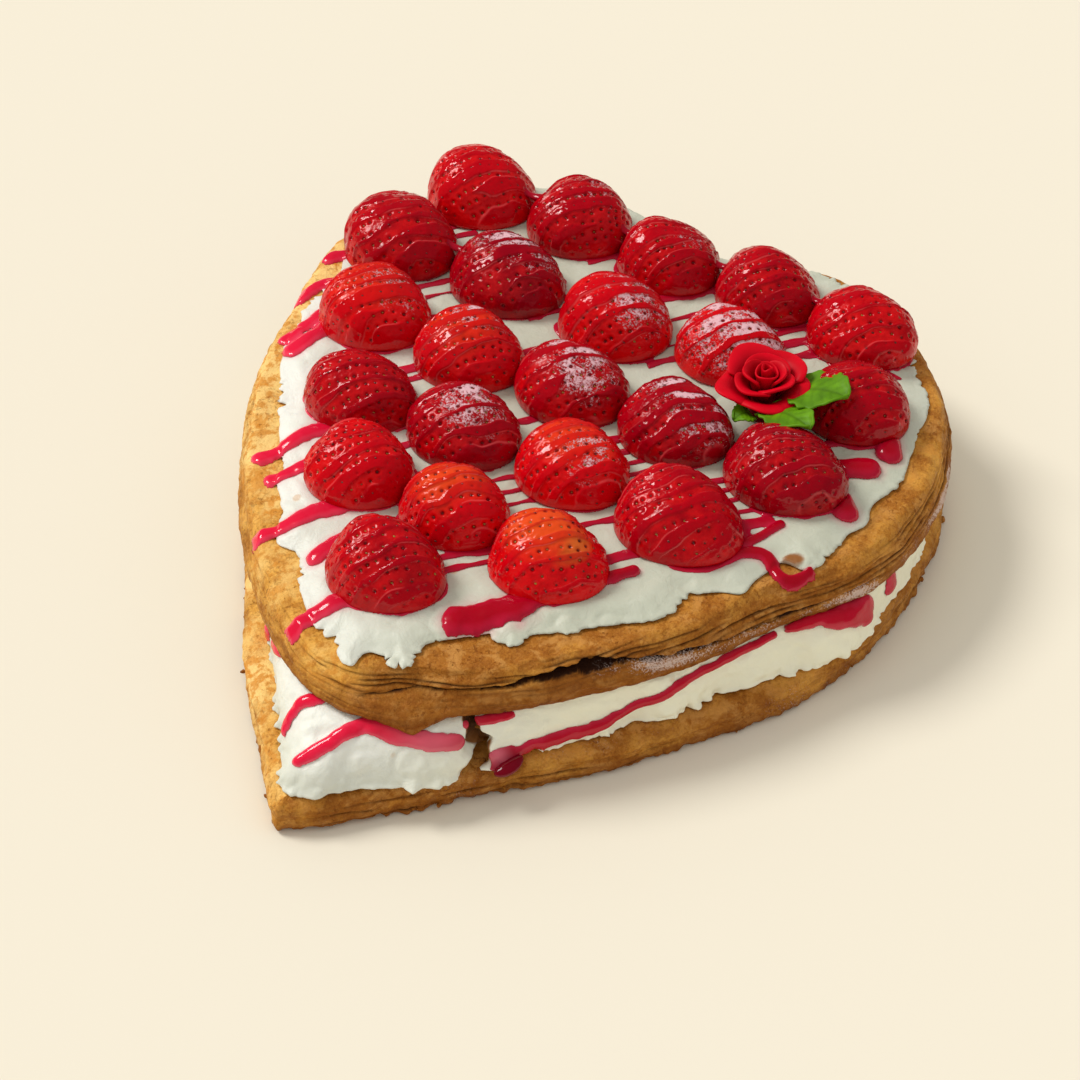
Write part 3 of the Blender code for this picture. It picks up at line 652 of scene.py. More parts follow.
upperHeart = {
    "columns": 1120, "rows": 77, "leaf": 1.35,
    "side": [
        (7.0, None, layers["upperFoot"], None, {}),
        (3.2, None, layers["upperFoot"] + 0.05, None, {"corner": (-1, -0.6)}),
        (0.9, None, 28.7, None, {"ragged": (0.5, 0), "corner": (-3.0, -2.2)}),
        (0, (0.7, 13, 12), 30.8, (0.5, 19, 13), {"corner": (-2.4, -1.2)}),
        (0.2, (0.7, 11, 14), 33.0, None, {"flap": (0.2, 0)}),
        (0.8, (0.6, 10, 20), 35.2, None, {"front": (0.4, 0), "flap": (0.7, 0)}),
        (1.5, (0.7, 10, 15), 37.0, None, {"front": (0.8, 0), "flap": (1, 0)}),
        (2.0, (0.8, 12, 16), 38.8, None, {"front": (1.3, 0), "flap": (1, 0)}),
        (2.9, (0.8, 10, 21), 40.7, (0.3, 15, 17), {"front": (1.9, 0), "flap": (1, 0)}),
        (4.1, (0.7, 11, 18), 42.2, (0.2, 15, 19), {"front": (2.2, 0), "flap": (1, 0)}),
        (6.0, None, layers["upperTop"] - 0.05, None, {"front": (2.3, 0), "flap": (1, 0)}),
        (10.5, None, layers["upperTop"] - 0.1, None, {"front": (2.3, 0), "flap": (1, 0)}),
    ],
    "ragged": [(0.6, 3.2, 63), (0.3, 1.5, 64)], "lumps": [(0.22, 8, 96), (0.13, 2.6, 97)],
    "leafFlakes": (0.2, 0.22, 2.6, 95), "flakes": (0.2, 3.2, 102), "pores": (0.1, 1.1, 98),
    "leafLift": 0.75, "groove": 1.1,
    "flap": {"at": (26, -112), "width": 17, "reach": 5.5},  # the side leans back here
    "corner": {"at": (26, -109.5), "width": 12, "reach": 1.2, "drop": 2.4},  # the torn flake
    # the opened layer: x, y, height, half its gape and its depth
    "split": [
        (4, -112, 36.2, 0.2, 0), (12, -109.5, 36.2, 0.26, 0.8), (24, -103.5, 36.6, 0.3, 1.4),
        (38, -98, 37.2, 0.36, 1.9), (50, -88, 37.8, 0.38, 2.1), (59, -78.5, 38.4, 1.3, 4.6),
        (66, -71.5, 38.6, 1.9, 6), (73, -64.5, 38.3, 1.3, 5), (79, -56, 37.2, 0.7, 3.2),
        (86, -45.5, 35.6, 0.5, 2.4), (94, -34, 34.5, 0.42, 2), (101, -22, 33.7, 0.38, 1.8),
        (111, -4, 33.4, 0.34, 1.4), (119, 9, 33.7, 0.3, 0.8), (124, 22, 34, 0.2, 0),
    ],
}


def alongKnots(loop, knots):
    # values of the nearest stretch of the knots for each point of the loop
    k = placed(knots)
    best, out = np.full(len(loop), 1e9), np.zeros((len(loop), k.shape[1] - 2))
    for start, end in zip(k[:-1], k[1:]):
        step = end[:2] - start[:2]
        t = clip(((loop - start[:2]) @ step) / (step @ step))
        d = np.linalg.norm(loop - (start[:2] + t[:, None] * step), axis=1)
        closer = d < best
        best[closer] = d[closer]
        out[closer] = (start[2:] + (end[2:] - start[2:]) * t[:, None])[closer]
    return out.T, best


def pastrySide(heart, loop, lowest, pulls):
    # walls from the levels of the side, then rows that run in under the foot and over the top
    controls = []
    for inset, insetWave, height, heightWave, shares in heart["side"]:
        level = []
        for at, (start, wave) in enumerate(((inset, insetWave), (height, heightWave))):
            values = np.full(len(loop), float(start))
            for pull, share in shares.items():
                values = values + share[at] * pulls[pull]
            level.append(values + ripples(loop, wave) if wave else values)
        controls.append(np.column_stack(level))
    k = np.array(controls)  # levels x columns x 2
    k = np.concatenate([2 * k[:1] - k[1:2], k, 2 * k[-1:] - k[-2:-1]])
    profile = []
    for at in np.linspace(0, len(controls) - 1, heart["rows"]):
        i = min(int(at), len(controls) - 2)
        profile.append(curve(*k[i:i + 4], at - i))
    profile = np.array(profile)
    inward = softened(inwardOf(loop), 30)
    flat = loop[None] + inward[None] * profile[:, :, :1]
    wall = np.concatenate([flat, profile[:, :, 1:]], axis=2)

    def run(base, share, z):
        flat = base[:, :2] + (heartMiddle - base[:, :2]) * share
        return np.column_stack([flat, np.full(len(loop), z)])

    below = [run(wall[0], share, lowest) for share in (0.35, 0.1)]
    above = [run(wall[-1], share, heart["side"][-1][2])
             for share in (0.02, 0.045, 0.075, 0.11, 0.15, 0.2, 0.3)]
    p = np.concatenate([below, wall, above])
    normals = gridNormals(p).reshape(-1, 3)
    facing = np.tile(-softened(inwardOf(loop), 60) @ leftWay, len(p))
    return p, normals, clip(1 - np.abs(normals[:, 2]) ** 3), facing


def laminated(points, thickness, seed):
    # offset and groove of thin leaves stacked in the side
    flat = points[:, :2]
    level = points[:, 2] + 0.9 * wander(flat, 26, seed) + 0.35 * wander(flat, 8, seed + 1)
    leaf = np.floor(level / thickness)
    part = level / thickness - leaf
    keyed = np.column_stack([flat / 11, leaf * 3.7])
    out = wander(keyed, 1, seed + 2) * 0.7 + wander(keyed * [2.7, 2.7, 1], 1, seed + 3) * 0.35
    edge = np.minimum(part, 1 - part) * thickness
    joint = np.floor(level / thickness + 0.5)
    there = clip(0.62 + 1.4 * wander(np.column_stack([flat / 14, joint * 5.1]), 1, seed + 4))
    return out, bell(edge / 0.23) * there


def rimPlace(p):
    # place along the edge (wrapped, so it has no seam) and distance over it, for the streaks
    middleRow = p[p.shape[0] // 2]
    step = np.linalg.norm(np.roll(middleRow, -1, 0) - middleRow, axis=1)
    angle = 2 * np.pi * np.append(0, np.cumsum(step)[:-1]) / step.sum()
    rim = np.empty(p.shape)
    rim[:, :, 0] = step.sum() / (2 * np.pi) * np.cos(angle)
    rim[:, :, 1] = step.sum() / (2 * np.pi) * np.sin(angle)
    rim[:, :, 2] = np.cumsum(np.linalg.norm(np.diff(p, axis=0, prepend=p[:1]), axis=2), axis=0)
    return rim.reshape(-1, 3)


def flaked(heart, flat, rim, upright):
    # flakes on the crust and along the leaves of its side
    size, width, seed = heart["flakes"]
    leafSize, pull, leafWidth, leafSeed = heart["leafFlakes"]
    return size * terraced(flat, width, seed) + leafSize * upright * terraced(
        rim * [pull, pull, 1], leafWidth, leafSeed)


def bottomPastry():
    heart, top = lowerHeart, layers["lowerTop"]
    loop = smoothLoop(bottomEdge, heart["columns"])
    p, normals, upright, facing = pastrySide(
        heart, loop, 0.02, {"ragged": ripples(loop, *heart["ragged"])})
    flat = p.reshape(-1, 3)
    z = flat[:, 2]
    upright = upright * clip((z - 0.4) / 1.2)
    out, groove = laminated(flat, heart["leaf"], 70)
    where = clip(0.5 + 1.6 * wander(flat, 38, 75)) * clip((9 - z) / 3)
    rim = rimPlace(p)
    lift = upright * where * (heart["leafLift"] * out - heart["groove"] * groove)
    lift += (ripples(flat, *heart["lumps"]) + flaked(heart, flat, rim, upright)) * clip(z / 2)
    lift += ripples(flat, heart["pores"]) * upright
    flat = flat + normals * lift[:, None]
    flat[:, 2] = clip(flat[:, 2], 0.0, top + 0.2)
    pale, left, back, patchy = heart["toast"]
    piece = closedSheet("bottomPastryHeart", flat.reshape(p.shape))
    addMasks(piece, side=upright, groove=0.75 * groove * where * upright,
             base=clip(1.15 - z / 4.2) + 0.5 * clip(wander(flat, 9, 79)) * upright,
             sugar=heart["sugar"] * clip(wander(flat, 14, 80)) * (flat[:, 0] > 10),
             # paler where the side faces the light and, less so, where it faces away: painted
             # light
             toast=clip(pale - left * clip(facing) + back * clip(facing, -1, 0), 0.2, 1.1)
             + patchy * wander(flat, 22, 82))
    addRim(piece, rim)
    finishPiece(piece, pastrySkin, "pastry", "bottom_pastry")


def topPastry():
    heart, foot, top = upperHeart, layers["upperFoot"], layers["upperTop"]
    loop = smoothLoop(topEdge, heart["columns"])
    flap, tear = heart["flap"], heart["corner"]
    (splitAt, gape, deep), off = alongKnots(loop, heart["split"])
    deep = deep * (off < 12)
    splitAt = splitAt + ripples(loop, (0.5, 9, 11), (0.25, 3, 10))
    gape = gape * clip(1 + ripples(loop, (0.6, 5, 15), (0.3, 2.2, 9)), 0.25, 2)
    corner = clip(1 - np.linalg.norm(loop - placed(tear["at"]), axis=1) / tear["width"])
    corner = tear["reach"] * corner ** 1.2
    p, normals, upright, facing = pastrySide(heart, loop, foot, {
        "ragged": ripples(loop, *heart["ragged"]), "corner": corner,
        "flap": flap["reach"] * near(loop, flap["at"], flap["width"]),
        "front": clip(inwardOf(loop) @ awayWay * 1.6)})
    above, gape, deep, corner = (np.tile(row, len(p)) for row in (splitAt, gape, deep, corner))
    flat = p.reshape(-1, 3)
    z = flat[:, 2]
    upright = upright * clip((z - foot) / 0.8)
    out, groove = laminated(flat, heart["leaf"], 90)
    band = np.maximum(bell((z - above - 2.6) / 3.3, 4),  # leaves show just over the split
                      0.35 * bell((z - above + 2.5) / 2.5, 4))
    shaded, facing = clip(-facing), clip(facing)
    lift = upright * (band + 0.08) * (heart["leafLift"] * out
                                      - heart["groove"] * groove * (1 - 0.45 * facing))
    rim = rimPlace(p)
    lift += ripples(flat, *heart["lumps"], heart["pores"]) + flaked(heart, flat, rim, upright)
    sinking = bell((z - above) / gape, 3) * deep
    curled = bell((z - above - gape - 0.5) / 0.6) * deep / 6
    flat = flat + normals * lift[:, None]
    flat[:, :2] += np.tile(inwardOf(loop), (len(p), 1)) * (sinking - 0.9 * curled)[:, None]
    flat[:, 2] = clip(flat[:, 2], foot - 0.1 - tear["drop"] * corner, top + 0.25)
    right = clip((flat[:, 0] + flat[:, 1] * 0.3 - 42) / 20) * (flat[:, 1] < 80)
    piece = closedSheet("topPastryHeart", flat.reshape(p.shape))
    addMasks(piece, side=upright * clip((42.0 - z) / 2.5),
             # groove: dark leaf joints, fading where the side faces the light, and painted shade
             # in the opened split
             groove=clip(0.85 * groove * upright * (band + 0.05) * (1 - 0.65 * facing)
                         + clip(sinking * 2.2 - 0.7)),
             # base: darker towards the foot, and painted shade below the split, less where the
             # side faces the light
             base=clip((31.5 - z) / 4) * 0.8 + (0.6 + 0.5 * wander(flat, 7, 99)) * upright
             * clip((above - 0.5 - z) / 1.5) * (1 - 0.6 * facing),
             sugar=right * bell((z - above + 1.8) / 1.8)
             * clip(0.65 + 1.3 * wander(flat, 11, 100), 0, 1.2),
             # paler where the side faces the light and on the side away from it, darker low on
             # the side: painted light and shade
             toast=clip(1.05 - 1.15 * facing - 0.3 * shaded)
             + 0.35 * facing * clip((-38 - flat[:, 1]) / 40) + 0.2 * wander(flat, 18, 101)
             + 0.3 * clip((39 - z) / 4) * (1 - 0.5 * facing))
    addRim(piece, rim)
    finishPiece(piece, pastrySkin, "pastry", "top_pastry")
    return piece


# both creams: waves of the edge (size, width, seed), how wild it is (middle, swing, width, seed,
# least, most), its roughness and its tears where it is wild
filling = {
    "columns": 1150, "wave": (0.9, 6, 21), "wild": (0.8, 1.3, 10, 20, 0.3, 1.5),
    "rough": [(1.5, 2.8, 22), (0.8, 1.2, 23)], "tears": (2.6, 4.5, 28),
    "calm": {"at": (43, -97), "reach": 7}, "under": 3.5,  # how far in it meets the upper heart
    # inset, height over the foot and share of the ragged edge for the rows at the foot
    "foot": [(3.5, 0, 0), (1.4, 0, 0.5), (0.5, 0.1, 1), (0.05, 0.3, 1), (0, 0.6, 1),
             (0.15, 0.95, 0.97)],
    "lumps": [(0.55, 13, 24), (0.34, 5, 25), (0.27, 2.2, 26)],
    "breakAt": (43.4, -98.5), "across": (0.76, 0.65), "inward": (-0.28, 0.96), "half": 2.1,
    # the break: height, and how far its two walls stand from its middle line there
    "walls": [
        (11.8, -5.8, 5.4), (13.2, -4.6, 4.4), (14.6, -1.4, 3.3), (16.2, -0.2, 2.7),
        (17.4, -1.2, 2.5), (18.4, -3.6, 2.4), (20.0, -4.4, 2.9), (21.4, -4.2, 3.9),
        (22.4, -3.6, 2.4), (23.4, -3.4, -0.2), (25.0, -3.7, -1.2), (26.4, -4.4, -2.2),
        (28, -4.4, -3.0),
    ],
}
topping = {
    "columns": 1500, "wave": (1.0, 7.5, 31), "wild": (0.45, 1.3, 11, 40, 0.1, 1.5),
    "rough": [(0.9, 2.9, 32), (0.6, 1.3, 33)], "tears": (2.3, 4.5, 38),
    "calm": {"at": (107, 3), "reach": 9}, "edge": 43.7,
    "lumps": [(0.42, 15, 34), (0.16, 5.5, 35)],
    "bare": {"at": (100.7, 1.1), "size": (3.6, 2.6), "height": 44.9},  # where it is scraped off
    "steps": {"edge": 0.8, "open": 1.15, "under": 3.0},  # how close its points stand
}


def raggedEdge(cream, loop):
    middle, swing, width, seed, least, most = cream["wild"]
    wild = clip(middle + swing * wander(loop, width, seed), least, most)
    size, tearWidth, tearSeed = cream["tears"]
    return ripples(loop, cream["wave"]) + wild * (
        ripples(loop, *cream["rough"]) + size * torn(loop, tearWidth, tearSeed))


def breakShift(flat):
    # moves the walls of the plain notch to where the break really runs
    at = flat[:, :2] - placed(filling["breakAt"])
    across, inward = at @ filling["across"], at @ filling["inward"]
    heights, leftWall, rightWall = np.array(filling["walls"]).T
    z = flat[:, 2] + 0.35 * wander(flat, 1.6, 19)
    left = np.interp(z, heights, leftWall) + 0.35 * wander(flat, 1.3, 17)
    right = np.interp(z, heights, rightWall) + 0.35 * wander(flat, 1.3, 18)
    half, reach = filling["half"], 9
    moved = np.where(
        across < -half, left + (across + half) * (reach + left) / (reach - half),
        np.where(across > half, right + (across - half) * (reach - right) / (reach - half),
                 left + (right - left) * (across + half) / (2 * half)))
    here = (np.abs(across) < reach) & (np.abs(inward) < 14)
    back = clip((np.abs(inward) - 10) / 4)
    deep = clip((2.6 - np.abs(across)) / 0.6) * clip((inward + 5) / 3)
    return np.where(here, (moved - across) * (1 - back), 0), np.where(here, deep, 0)


def lowerCream():
    count, foot, top = filling["columns"], layers["fillingFoot"], layers["fillingTop"]
    loop = smoothLoop(lowerCreamEdge, count)
    inward = inwardOf(loop)
    calm = 1 - near(loop, filling["calm"]["at"], filling["calm"]["reach"])
    ragged = raggedEdge(filling, loop) * clip(calm * 1.2 + 0.1)
    away = loop - heartMiddle
    length = np.linalg.norm(away, axis=1)
    under = reachIn(smoothLoop(topEdge, 800), loop) - filling["under"]
    seat = heartMiddle + away / length[:, None] * np.minimum(under, length + 1.5)[:, None]
    rows = []
    for inset, height, share in filling["foot"]:
        flat = loop + inward * (inset * clip(calm + 0.12) + ragged * share)[:, None]
        rows.append(np.column_stack([flat, np.full(count, foot + height)]))
    for share in np.linspace(0.012, 1, 44) ** 1.15:
        climb = (top - foot - 1.1) * (1 - (1 - share) ** 1.75)
        flat = loop + inward * (0.4 + ragged * 0.93 * math.exp(-climb / 1.3))[:, None]
        flat = flat + (seat - flat) * share
        rows.append(np.column_stack([flat, np.full(count, foot + 1.1 + climb)]))
    inner = rows[-1].copy()
    inner[:, :2] += (heartMiddle - inner[:, :2]) * 0.12
    p = np.array(rows + [inner])
    flat = p.reshape(-1, 3)
    z = flat[:, 2]
    lift = clip((z - foot) / 2) * clip((27.8 - z) / 1.5) * (
        ripples(flat, *filling["lumps"]) - 0.45 * torn(flat, 9, 29)
        + 0.3 * terraced(flat * [1, 1, 2], 6, 16))
    flat = flat + gridNormals(p).reshape(-1, 3) * lift[:, None]
    flat[:, 2] = clip(flat[:, 2], foot, top + 0.1)
    shift, deep = breakShift(flat)
    flat[:, :2] += shift[:, None] * filling["across"]
    z, left = flat[:, 2], flat[:, :2] @ leftWay
    piece = closedSheet("creamFilling", flat.reshape(p.shape))
    # painted shade on the filling's low front and painted light on its right side; in the break,
    # crumb colour turning to painted shade at its top
    addMasks(piece, crumbed=deep * (1 + clip((z - 16.5) / 5, 0, 0.85)), stain=0,
             sunny=1 - 0.5 * clip((left - 5) / 25) * clip((23 - z) / 9),
             warm=clip((45 - left) / 60))
    finishPiece(piece, creamSkin, "cream", "lower_cream")
    return flat.reshape(p.shape)


berryNames = [f"strawberry_{i:02d}" for i in range(1, 24)]
berryBoxes = []  # middle, size and foot of each
for name in berryNames:
    low, high = (np.array(c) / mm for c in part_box(name))
    berryBoxes.append(((low + high) / 2, high - low, low[2]))


def berryCover(flat):
    # how far the nearest berry's foot is: as a share of its size, in millimetres, the same for
    # the next berry, and which berry it is
    best, first, second = (np.full(len(flat), 99.0) for _ in range(3))
    nearest = np.zeros(len(flat), dtype=int)
    for number, (middle, size, _) in enumerate(berryBoxes):
        share = np.linalg.norm((flat - middle[:2]) / (size[:2] / 2), axis=1)
        best = np.minimum(best, share)
        outside = (share - 1) * size[:2].mean() / 2
        second = np.minimum(second, np.maximum(first, outside))
        nearest[outside < first] = number
        first = np.minimum(first, outside)
    return best, first, second, nearest


def topCream():
    count, top, bare = topping["columns"], layers["spreadTop"], topping["bare"]
    loop = smoothLoop(topCreamEdge, count)
    ragged = raggedEdge(topping, loop)
    ragged *= 1 - 0.8 * near(loop, topping["calm"]["at"], topping["calm"]["reach"])
    edge = loop + inwardOf(loop) * ragged[:, None]
    tree = treeOf(np.column_stack([edge, np.zeros(count)]))

    def farFromEdge(flat):
        return np.array([tree.find((*point, 0))[2] for point in flat])

    # points inside: close where the cream shows, wide apart under the berries
    rng = np.random.default_rng(5)
    picks = [edge]
    for kind, step in topping["steps"].items():
        ys = np.arange(-125, 145, step * 0.866)
        gx, gy = np.meshgrid(np.arange(-125, 125, step), ys)
        gx = gx + (np.arange(len(ys)) % 2)[:, None] * step / 2
        flat = np.column_stack([gx.ravel(), gy.ravel()])
        flat += rng.uniform(-0.18, 0.18, flat.shape) * step
        flat = flat[np.linalg.norm(flat - heartMiddle, axis=1) < reachIn(edge, flat) + 2]
        far = farFromEdge(flat)
        covered = berryCover(flat)[0] < 0.86
        close = (far < 5) | (np.linalg.norm(flat - placed(bare["at"]), axis=1) < 6)
        want = {"edge": close & ~covered, "open": ~close & ~covered, "under": covered}[kind]
        picks.append(flat[want & (far > 0.45)])
    outline = [(i, (i + 1) % count) for i in range(count)]
    out = geometry.delaunay_2d_cdt([Vector(v) for v in np.vstack(picks)], outline, [], 1, 1e-6)
    flat = np.array([v[:] for v in out[0]])
    faces = [list(f) for f in out[2]]
    far = farFromEdge(flat)
    z = topping["edge"] + (top - topping["edge"]) * (1 - (1 - clip(far / 7.5)) ** 1.2)
    free = clip(far / 3, 0.25, 1)
    z += free * ripples(flat, *topping["lumps"]) - 0.12
    z += free * 0.22 * (terraced(flat, 8, 30) - 0.2)
    strokes = flat @ np.array([[0.64, -0.77], [0.77, 0.64]]) / [26, 5]
    z += free * 0.26 * wander(strokes, 1, 36) + 0.07 * wander(flat, 1.9, 37)
    z -= 0.5 * free * torn(flat, 9, 39)
    scraped = bell(np.linalg.norm((flat - placed(bare["at"])) @ np.column_stack(
        [leftWay, awayWay]) / bare["size"], axis=1), 12)
    z -= scraped * (z - bare["height"])
    z = np.minimum(z, top + 0.28)
    z = np.where(berryCover(flat)[0] < 0.9, np.minimum(z, top - 0.1), z)
    # the outline's points come first; two more rings under them make the wall
    ring, ringIn = flat[:count], inwardOf(flat[:count])
    points = np.vstack([
        np.column_stack([flat, z]),
        np.column_stack([ring + ringIn * 0.05, np.full(count, 43.35)]),
        np.column_stack([ring + ringIn * 0.55, np.full(count, layers["spreadFoot"] - 0.15)])])
    base = len(flat)
    for i, j in outline:
        faces.append([base + i, base + j, j, i])
        faces.append([base + count + i, base + count + j, base + j, base + i])
    faces.append([base + count + i for i in range(count - 1, -1, -1)])
    piece = newPiece("creamTopping", points, faces)
    # the topping is white on the side facing the light and painted shade elsewhere
    addMasks(piece, stain=sauceStain(points[:, :2]), sunny=sunny(points), warm=0,
             crumbed=np.append(scraped, np.zeros(2 * count)))
    finishPiece(piece, creamSkin, "cream", "top_cream")
    return piece


# lanes of sauce laid to and fro over the whole heart: their direction and how far apart
sauceFlow = {
    "turn": math.radians(50), "spacing": 6.25, "offset": 16.63, "half": 1.3,
    "least": 0.9, "longest": 11,  # thinner lanes and those over wider gaps are left out
    "thick": 0.75, "skirtThick": 0.5, "skirt": [(2.6, 10, 47), (0.6, 3, 48)],
}
sauceStep = 0.5
sauceXs, sauceYs = np.arange(-120, 122, sauceStep), np.arange(-119, 138, sauceStep)
# listed trails: places, widths along them, thickness and how much the edges waver
topTrails = [
    ([(-104, 68), (-113, 62), (-116.5, 57.5)], [5.2, 6.5, 7], 1.3, 1),
    ([(-97, 55), (-106, 48), (-111, 41), (-113, 33)], [7.2, 6.5, 6, 6.5], 1.3, 1),
    ([(-92, 42), (-98, 30), (-101.5, 18), (-103, 11)], [7.8, 6.8, 6, 6.5], 1.3, 1),
    ([(-92, 30), (-94, 18), (-97, 6)], [8.5, 7.8, 7.3], 1.4, 1),
    ([(-58, -16), (-66, -28), (-70, -36), (-75, -45)], [9.1, 7, 6.2, 7], 1.4, 1),
    ([(-53, -30), (-58, -41), (-65.5, -52)], [7.2, 6, 6.5], 1.3, 1),
    ([(-35, -49), (-42, -59), (-48, -69), (-54.5, -77)], [9.8, 7.8, 6.5, 7], 1.5, 1),
    ([(-24, -60), (-27.5, -68), (-31, -77)], [9.1, 7.8, 7.8], 1.5, 1),
    ([(-12, -90), (-17, -98), (-22, -107)], [7.8, 6.5, 7], 1.4, 1),
    ([(24, -78.4), (27, -75.4), (31, -70.8), (35.6, -65.6), (38.5, -60), (45, -52.5), (53, -41),
     (60, -31.5)], [12, 13, 12, 12.5, 8, 6, 5.5, 4.5], 2.2, 1),
    ([(81, -3), (86, 1.5), (90, 12)], [5.5, 4, 4.2], 1.3, 1),
    ([(80, -12), (86.5, -5), (92.7, -2.5), (98.5, -6), (103.5, -6), (107.5, 0)],
     [8, 5.4, 4.8, 5, 4.8, 3.2], 1.5, 1),
    ([(96, 76), (100, 70), (103, 65.5), (104.8, 62.5)], [8, 8.6, 9.6, 9.6], 3.2, 0.25),
    ([(90, 44.5), (96, 47.8), (100, 50.3), (102, 51.6)], [8.4, 9.2, 9.8, 9.8], 3.0, 0.25),
    ([(94, 39.5), (98.5, 35.5), (102.8, 31.4), (105, 29.2)], [7.6, 8.4, 9.6, 9.8], 3.2, 0.25),
]
lowerTrails = [
    ([(-4.6, -115.5, 27.5), (-7.9, -117.3, 26.9), (-10.1, -118.8, 25.3), (-11.7, -121.2, 22),
     (-12.7, -124.2, 17.3)], [4.6, 4.8, 4.6, 4.4, 4.6], 1.4, 1),
    ([(-0.8, -134.8, 19.5), (2.7, -131.4, 21.6), (6.5, -125.8, 24.2), (10, -120.6, 26.2),
     (14, -116.5, 27), (18.9, -115.3, 26.6), (24, -113.7, 25.4), (32.8, -110.2, 23.9),
     (39.4, -105.1, 22.9)], [4.2, 4.8, 5, 5.4, 6, 6, 6, 6.4, 5.5], 1.4, 1),
    ([(51, -98.5, 12.4), (53, -95.5, 14), (59, -86.5, 15), (63.5, -79, 15.4), (68.2, -72.3, 15.6),
     (77.7, -57.2, 19.2), (88, -43, 23.2), (97.2, -26.6, 24.9), (103.7, -15, 26)],
     [7, 6.6, 5.2, 4.6, 4.4, 4, 3.8, 3.4, 2.6], 1.3, 1),
    ([(50, -99, 16.2), (53, -94.6, 16.6)], [4.6, 4.6], 0.9, 1),
    ([(106, -11.5, 26.5), (112, -2, 25.6), (118, 7, 23.4), (121.5, 13.5, 21.4)],
     [2.6, 5, 9, 10.5], 2.2, 1),
    ([(123.4, 30, 24), (123.4, 30, 20.5)], [6.4, 7], 1.7, 1),
    ([(41, -99, 26.5), (45, -93.5, 26), (49.5, -89, 26)], [3, 3.6, 2.6], 0.9, 1),
    ([(-42, -90.5, 18.5), (-44, -88.9, 13.5)], [5, 6], 1.5, 1),
    ([(-28.6, -102.3, 25.9), (-31, -100.4, 24.4), (-33.4, -98.6, 22.6)], [5, 6, 5.5], 1.5, 1),
]
# where the sauce on the filling is deeper or paler: place, reach and how much
lowerTones = {"deep": [((51.5, -97, 11.5), 6, 1)],
              "pale": [((34, -112, 20), 12, 0.7), ((50, -98.5, 17), 3.4, 0.8)]}


def laneField(flat, halfWidth):
    # 1 along the middle of each lane, 0 at its edges, less outside; its number and half width
    c, s = math.cos(sauceFlow["turn"]), math.sin(sauceFlow["turn"])
    along = flat[:, 0] * c + flat[:, 1] * s
    across = -flat[:, 0] * s + flat[:, 1] * c - sauceFlow["offset"]
    across = across + 1.3 * wander(flat, 24, 41) + 0.4 * wander(flat, 7, 42)
    number = np.round(across / sauceFlow["spacing"])
    off = across - (number + 0.26 * np.sin(number * 12.9)) * sauceFlow["spacing"]
    vary = wander(np.column_stack([along / 22, number * 3.3]), 1, 43)
    vary += 0.4 * wander(np.column_stack([along / 5, number * 3.3]), 1, 44)
    half = halfWidth * (1 + 0.75 * vary + 0.3 * np.sin(number * 7.7))
    return 1 - np.abs(off) / np.maximum(half, 0.3), number, half


def trailField(points, trails, skin=None):
    # the same for the listed trails, and their thickness
    field, thick = np.full(len(points), -9.0), np.zeros(len(points))
    for places, widths, depth, waver in trails:
        path = placed(smoothPath([k[:points.shape[1]] for k in places], 8))
        along, known = (np.linspace(0, 1, len(each)) for each in (path, widths))
        width = np.interp(along, known, widths) / 2
        if skin:
            path = np.array([skin.find(point)[0] for point in path])
        inside = np.all((points > path.min(0) - 8) & (points < path.max(0) + 8), axis=1)
        q = points[inside]
        uneven = 1 + waver * ripples(q, (0.16, 4.5, 45), (0.08, 1.8, 46))
        best = np.full(len(q), -9.0)
        for i in range(len(path) - 1):
            step = path[i + 1] - path[i]
            t = clip(((q - path[i]) @ step) / max(step @ step, 1e-9))
            d = np.linalg.norm(q - (path[i] + t[:, None] * step), axis=1)
            best = np.maximum(best, 1 - d / ((width[i] + (width[i + 1] - width[i]) * t) * uneven))
        thick[inside] = np.where(best > field[inside], depth, thick[inside])
        field[inside] = np.maximum(field[inside], best)
    return field, thick


def sauceSheet(name, p, normals, field, thickness):
    # a skin of sauce over the places of the grid p where the field is above 0
    columns = field.shape[1]
    inside = field > 0
    di, dj = np.gradient(field)
    shift = np.where(inside, 0, -field / np.maximum(di ** 2 + dj ** 2, 1e-4))
    si, sj = clip(shift * di, -1, 1), clip(shift * dj, -1, 1)
    moved = p + np.gradient(p, axis=0) * si[:, :, None] + np.gradient(p, axis=1) * sj[:, :, None]
    rise = thickness * np.sqrt(1 - (1 - np.minimum(clip(field) * 1.08, 1)) ** 2)
    lifted = moved + normals * (rise + 0.02)[:, :, None]
    ci, cj = np.nonzero(inside[:-1, :-1] | inside[1:, :-1] | inside[:-1, 1:] | inside[1:, 1:])
    quads = np.stack([ci * columns + cj, ci * columns + cj + 1, (ci + 1) * columns + cj + 1,
                      (ci + 1) * columns + cj], axis=-1)
    used, packed = np.unique(quads, return_inverse=True)
    piece = newPiece(name, lifted.reshape(-1, 3)[used], packed.reshape(-1, 4).tolist())
    return piece, used


def finishSauce(piece, least, rounds, node, **masks):
    addMasks(piece, **masks)
    # loose specks of a few faces are taken off
    work = bmesh.new()
    work.from_mesh(piece.data)
    seen = set()
    for face in list(work.faces):
        if face in seen:
            continue
        group, queue = [face], [face]
        seen.add(face)
        while queue:
            for edge in queue.pop().edges:
                fresh = [other for other in edge.link_faces if other not in seen]
                seen.update(fresh)
                group += fresh
                queue += fresh
        if len(group) < least:
            bmesh.ops.delete(work, geom=group, context="FACES")
    work.to_mesh(piece.data)
    work.free()
    applyModifier(piece, "SMOOTH", factor=0.5, iterations=rounds)
    applyModifier(piece, "SOLIDIFY", thickness=0.4 * mm, offset=-1)
    finishPiece(piece, sauceSkin, "strawberry", node)


